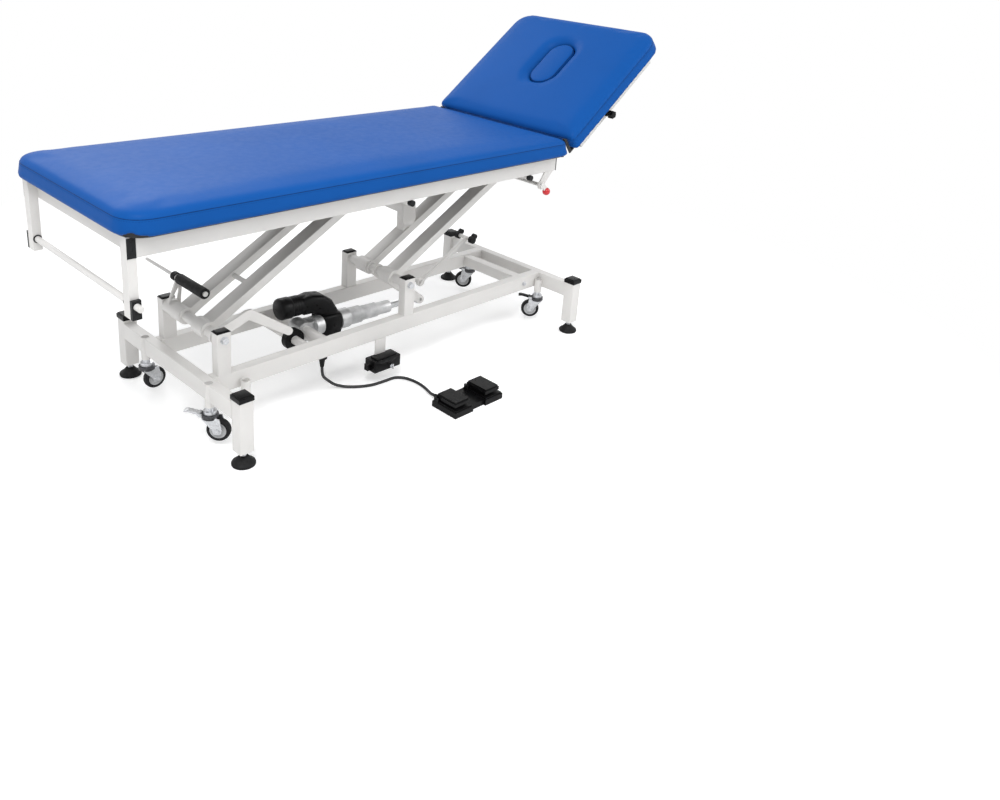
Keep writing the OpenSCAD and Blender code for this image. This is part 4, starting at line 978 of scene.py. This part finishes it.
class TABLE_OT_feet(bpy.types.Operator):
    """Levelling feet: moulded pads on zinc-plated studs"""

    bl_idname = "table.feet"
    bl_label = "Levelling feet"

    def execute(self, context):
        f = finishes()
        for i in range(1, 5):
            node = "levelling_foot_%d" % i
            lo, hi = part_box(node)
            x, y = (lo[0] + hi[0]) / 2, (lo[1] + hi[1]) / 2
            pad = lathe(bmesh.new(), [
                (0.0, 0.0), (0.0286, 0.0), (0.0303, 0.0008), (0.0310, 0.0024), (0.0310, 0.0060), (0.0301, 0.0080),
                (0.0262, 0.0100), (0.0205, 0.0150), (0.0160, 0.0200), (0.0132, 0.0236), (0.0118, 0.0254),
                (0.0104, 0.0260), (0.0, 0.0260)], (x, y, 0), (0, 0, 1), steps=64)
            p = piece(mesh_of(pad), "foot_pad_%d" % i, f["rubber"], smooth=40)
            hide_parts(node)
            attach(p, BODY[node])
            thread = [(0.0, 0.0245), (0.0062, 0.0245)]
            for k in range(int((hi[2] - 0.0275) / THREAD_PITCH)):
                z = 0.0262 + k * THREAD_PITCH
                thread += [(0.0069, z), (0.0062, z + THREAD_PITCH / 2)]
            thread += [(0.0062, hi[2]), (0.0, hi[2])]
            bm = lathe(bmesh.new(), thread, (x, y, 0), (0, 0, 1), steps=20)
            lathe(bm, [
                (0.0, 0.0312), (0.0100, 0.0312), (0.0112, 0.0322), (0.0112, 0.0388), (0.0100, 0.0398),
                (0.0, 0.0398)], (x, y, 0), (0, 0, 1), steps=6)
            stud = piece(mesh_of(bm), "foot_stud_%d" % i, f["zinc"], smooth=25)
            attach(stud, BODY[node])
        return {"FINISHED"}


# ---------------------------------------------------------------- actuator


class TABLE_OT_actuator(bpy.types.Operator):
    """The lifting actuator: casting, arched motor cover, outer tube and rod"""

    bl_idname = "table.actuator"
    bl_label = "Actuator"

    def execute(self, context):
        f = finishes()
        dress("actuator_body", f["casting"], 0.005, 0.03)
        dress("actuator_rod", f["rod"])
        self.motor(f)
        return {"FINISHED"}

    def place(self):
        """The actuator's own frame: X along its rod from the rear pivot, Z upwards."""
        x = JOINTS["ram_slide"]["axis"]
        turn = Matrix.Rotation(math.atan2(-x[2], x[0]), 4, "Y")
        return Matrix.Translation(JOINTS["actuator_turn"]["pos_m"]) @ turn

    def motor(self, f):
        """The motor with its end cap, the arched cover and the gear housing."""
        place = self.place()
        along = place.to_3x3() @ Vector((1, 0, 0))
        at = place @ Vector((0, 0.032, 0.066))
        bm = lathe(bmesh.new(), [
            (0.0, -0.062), (0.027, -0.062), (0.032, -0.059), (0.034, -0.054), (0.034, -0.026), (0.0325, -0.023),
            (0.0310, -0.022), (0.0310, 0.070), (0.0, 0.070)], at, along, steps=64)
        sweep(bm, place, [
            ((0.016, 0.030, 0.064), 0.056, 0.058), ((0.044, 0.028, 0.068), 0.062, 0.062),
            ((0.070, 0.025, 0.064), 0.066, 0.066), ((0.090, 0.020, 0.051), 0.068, 0.066),
            ((0.103, 0.014, 0.031), 0.070, 0.060), ((0.108, 0.009, 0.012), 0.070, 0.056)])
        box = [(x, y, z) for x in (0.0664, 0.1378) for y in (-0.030, 0.046) for z in (-0.036, 0.034)]
        v = [bm.verts.new(place @ Vector(c)) for c in box]
        block = [bm.faces.new([v[i] for i in q]) for q in (
            (0, 1, 3, 2), (4, 6, 7, 5), (0, 4, 5, 1), (2, 3, 7, 6), (0, 2, 6, 4), (1, 5, 7, 3))]
        edges = list({e for q in block for e in q.edges})
        bmesh.ops.bevel(
            bm, geom=edges, offset=0.011, offset_type="OFFSET", segments=5, profile=0.5,
            affect="EDGES", clamp_overlap=True)
        bmesh.ops.recalc_face_normals(bm, faces=bm.faces)
        obj = piece(mesh_of(bm), "motor_and_gears", f["motor"], smooth=40)
        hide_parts("actuator_motor")
        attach(obj, "actuator")
        for k in range(3):
            ring = lathe(bmesh.new(), [
                (0.0310, 0.000), (0.0319, 0.0006), (0.0319, 0.0030), (0.0310, 0.0036), (0.0306, 0.0018)],
                at + along * (-0.015 + 0.009 * k), along, steps=64)
            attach(piece(mesh_of(ring), "motor_ring_%d" % (k + 1), f["motor"], smooth=40), "actuator")


# ---------------------------------------------------------------- foot control


CORD_RADIUS = 0.0045
# The cord's route from the control box, in millimetres before the shift along X
CORD_POINTS = [
    (-293, -145, 94), (-292, -144.5, 78), (-284, -141, 56), (-262, -136, 33), (-240, -139, 14),
    (-215, -155, 5.5), (-188, -176, 4.8), (-162, -190, 4.8), (-136, -198, 4.8), (-98, -201, 4.8),
    (-62, -204, 4.8), (-40, -224, 4.8), (-30, -258, 4.8), (-30, -296, 4.8), (-38, -330, 5.4),
    (-47, -352, 9), (-50, -364, 11.5), (-50, -374, 12)]


def smooth_path(points, steps):
    """A Catmull-Rom line through points, in metres and in the row's frame."""
    pts = [Vector((x / 1000 - SHIFT, y / 1000, z / 1000)) for x, y, z in points]
    out = []
    for k in range(len(pts) - 1):
        a, b, c, d = pts[max(k - 1, 0)], pts[k], pts[k + 1], pts[min(k + 2, len(pts) - 1)]
        for j in range(steps):
            t = j / steps
            square, cube = 2 * a - 5 * b + 4 * c - d, 3 * b - a - 3 * c + d
            out.append(0.5 * (2 * b + (c - a) * t + square * t * t + cube * t ** 3))
    out.append(pts[-1])
    return out


class TABLE_OT_cord(bpy.types.Operator):
    """The cord from the base to the foot control"""

    bl_idname = "table.cord"
    bl_label = "Cord"

    def execute(self, context):
        path = smooth_path(CORD_POINTS, 4)
        obj = piece(tube_mesh(path, CORD_RADIUS, sides=16), "control_cord", finishes()["cord"], smooth=60)
        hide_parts("foot_cord")
        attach(obj, BODY["foot_cord"])
        return {"FINISHED"}


class TABLE_OT_foot_control(bpy.types.Operator):
    """The foot control's base, its two pedals, and the control box"""

    bl_idname = "table.foot_control"
    bl_label = "Foot control"

    def execute(self, context):
        f = finishes()
        coat("pedal_unit", f["plastic"])
        for side in ("left", "right"):
            coat("pedal_" + side, f["plastic"])
        dress("control_box", f["plastic"], 0.0018, 0.02)
        dress("box_key", f["chrome"])
        return {"FINISHED"}


# ---------------------------------------------------------------- studio


class TABLE_OT_stage(bpy.types.Operator):
    """Floor, studio light and the photograph's camera"""

    bl_idname = "table.stage"
    bl_label = "Studio"

    def execute(self, context):
        scene = context.scene
        scene.view_settings.view_transform = "Standard"
        self.camera(scene)
        self.floor()
        self.lamps()
        self.world(scene)
        return {"FINISHED"}

    def camera(self, scene):
        """The photograph's camera, as solved from the table's own edges."""
        yaw, pitch, roll = (math.radians(a) for a in (48.1, 18.9, 4.5))
        d = Vector((math.sin(yaw) * math.cos(pitch), math.cos(yaw) * math.cos(pitch), -math.sin(pitch)))
        r = Vector((math.cos(yaw), -math.sin(yaw), 0))
        u = r.cross(d)
        r2 = r * math.cos(roll) + u * math.sin(roll)
        u2 = u * math.cos(roll) - r * math.sin(roll)
        cam = bpy.data.cameras.new("camera")
        width, height, focal = 1000.0, 800.0, 898.6
        cam.sensor_width = 36.0
        cam.lens = focal * cam.sensor_width / width
        cam.shift_x = (width / 2 - 500.1) / width
        cam.shift_y = (237.9 - height / 2) / width
        cam.clip_end = 100.0
        obj = bpy.data.objects.new("camera", cam)
        m = Matrix((r2, u2, -d)).transposed().to_4x4()
        m.translation = Vector((-1.7152 - SHIFT, -2.0785, 1.3374))
        obj.matrix_world = m
        scene.collection.objects.link(obj)
        scene.camera = obj

    def floor(self):
        bm = bmesh.new()
        n, half = 8, 30.0
        steps = [half * (2 * i / n - 1) for i in range(n + 1)]
        grid = [[bm.verts.new((x, y, 0)) for y in steps] for x in steps]
        for i in range(n):
            for j in range(n):
                bm.faces.new((grid[i][j], grid[i + 1][j], grid[i + 1][j + 1], grid[i][j + 1]))
        f = Finish("studio_floor")
        c = colours().floor
        f.set(Specular_IOR_Level=0.0, Roughness=0.9)
        f.wire(Base_Color=f.blend(f.span(f.noise(0.7), 0.0, 1.0), shade(c, 0.995), shade(c, 1.0)))
        self.lit_floor(f)
        obj = piece(mesh_of(bm), "studio_floor", f.mat)

    def lit_floor(self, f):
        """The camera sees the floor a little brighter than it is lit, and white far from the table."""
        n, l = f.nodes, f.links
        glow, white = n.new("ShaderNodeEmission"), n.new("ShaderNodeEmission")
        both, pick = n.new("ShaderNodeAddShader"), n.new("ShaderNodeMixShader")
        path, seen, far, reach = (n.new("ShaderNode" + k) for k in ("LightPath", "Math", "VectorMath", "Math"))
        seen.operation, far.operation, reach.operation = "MULTIPLY", "LENGTH", "MULTIPLY"
        seen.inputs[1].default_value = 0.30
        l.new(path.outputs["Is Camera Ray"], seen.inputs[0])
        l.new(seen.outputs[0], glow.inputs["Strength"])
        l.new(f.shader.outputs[0], both.inputs[0])
        l.new(glow.outputs[0], both.inputs[1])
        l.new(f.coord, far.inputs[0])
        l.new(f.span(far.outputs["Value"], 0.0, 1.0, 1.3, 2.2), reach.inputs[0])
        l.new(path.outputs["Is Camera Ray"], reach.inputs[1])
        l.new(reach.outputs[0], pick.inputs[0])
        l.new(both.outputs[0], pick.inputs[1])
        l.new(white.outputs[0], pick.inputs[2])
        l.new(pick.outputs[0], n["Material Output"].inputs[0])

    def lamps(self):
        for name, at, aim, size, watts in (
                ("key", (-2.2, -1.6, 4.2), (0, 0, 0.4), 2.6, 130.0),
                ("fill", (2.6, -3.0, 2.6), (0, 0, 0.5), 3.0, 45.0),
                ("back", (0.5, 3.4, 3.2), (0, 0, 0.6), 3.0, 50.0)):
            lamp = bpy.data.lights.new(name, "AREA")
            lamp.shape = "DISK"
            lamp.size = size
            lamp.energy = watts
            obj = bpy.data.objects.new(name, lamp)
            way = Vector(aim) - Vector(at)
            obj.rotation_euler = way.to_track_quat("-Z", "Y").to_euler()
            obj.location = at
            bpy.context.scene.collection.objects.link(obj)

    def world(self, scene):
        world = bpy.data.worlds.new("studio")
        world.use_nodes = True
        scene.world = world
        n, l = world.node_tree.nodes, world.node_tree.links
        n.clear()
        out = n.new("ShaderNodeOutputWorld")
        dim, white, pick = n.new("ShaderNodeBackground"), n.new("ShaderNodeBackground"), n.new("ShaderNodeMixShader")
        dim.inputs["Color"].default_value = (0.98, 0.99, 1.0, 1.0)
        dim.inputs["Strength"].default_value = 0.62
        white.inputs["Strength"].default_value = 1.0
        white.inputs["Color"].default_value = (1.0, 1.0, 1.0, 1.0)
        path, seen = n.new("ShaderNodeLightPath"), n.new("ShaderNodeMath")
        seen.operation = "MAXIMUM"
        l.new(path.outputs["Is Camera Ray"], seen.inputs[0])
        l.new(path.outputs["Is Glossy Ray"], seen.inputs[1])
        l.new(seen.outputs[0], pick.inputs[0])
        l.new(dim.outputs[0], pick.inputs[1])
        l.new(white.outputs[0], pick.inputs[2])
        l.new(pick.outputs[0], out.inputs[0])


# ---------------------------------------------------------------- panel and main


ORDER = (
    "stage", "foot_control", "cord", "frame", "caps", "castors", "feet", "actuator", "main_cushion", "head_cushion")


class TABLE_PT_panel(bpy.types.Panel):
    """The table's sizes, colours and pieces"""

    bl_idname = "TABLE_PT_panel"
    bl_label = "Examination table"
    bl_space_type = "VIEW_3D"
    bl_region_type = "UI"
    bl_category = "Table"

    def draw(self, context):
        for group in (context.scene.table_colours, context.scene.table_sizes):
            for name in group.__annotations__:
                self.layout.prop(group, name)
        for name in ORDER:
            self.layout.operator("table." + name)


CLASSES = (
    TableColours, TableSizes, TABLE_OT_stage, TABLE_OT_cord, TABLE_OT_foot_control, TABLE_OT_frame, TABLE_OT_caps,
    TABLE_OT_castors, TABLE_OT_feet, TABLE_OT_actuator, TABLE_OT_main_cushion, TABLE_OT_head_cushion, TABLE_PT_panel)


def register():
    for c in CLASSES:
        bpy.utils.register_class(c)
    bpy.types.Scene.table_colours = PointerProperty(type=TableColours)
    bpy.types.Scene.table_sizes = PointerProperty(type=TableSizes)


def unregister():
    del bpy.types.Scene.table_sizes
    del bpy.types.Scene.table_colours
    for c in reversed(CLASSES):
        bpy.utils.unregister_class(c)


def main():
    register()
    for name in ORDER:
        getattr(bpy.ops.table, name)()


if __name__ == "__main__":
    main()
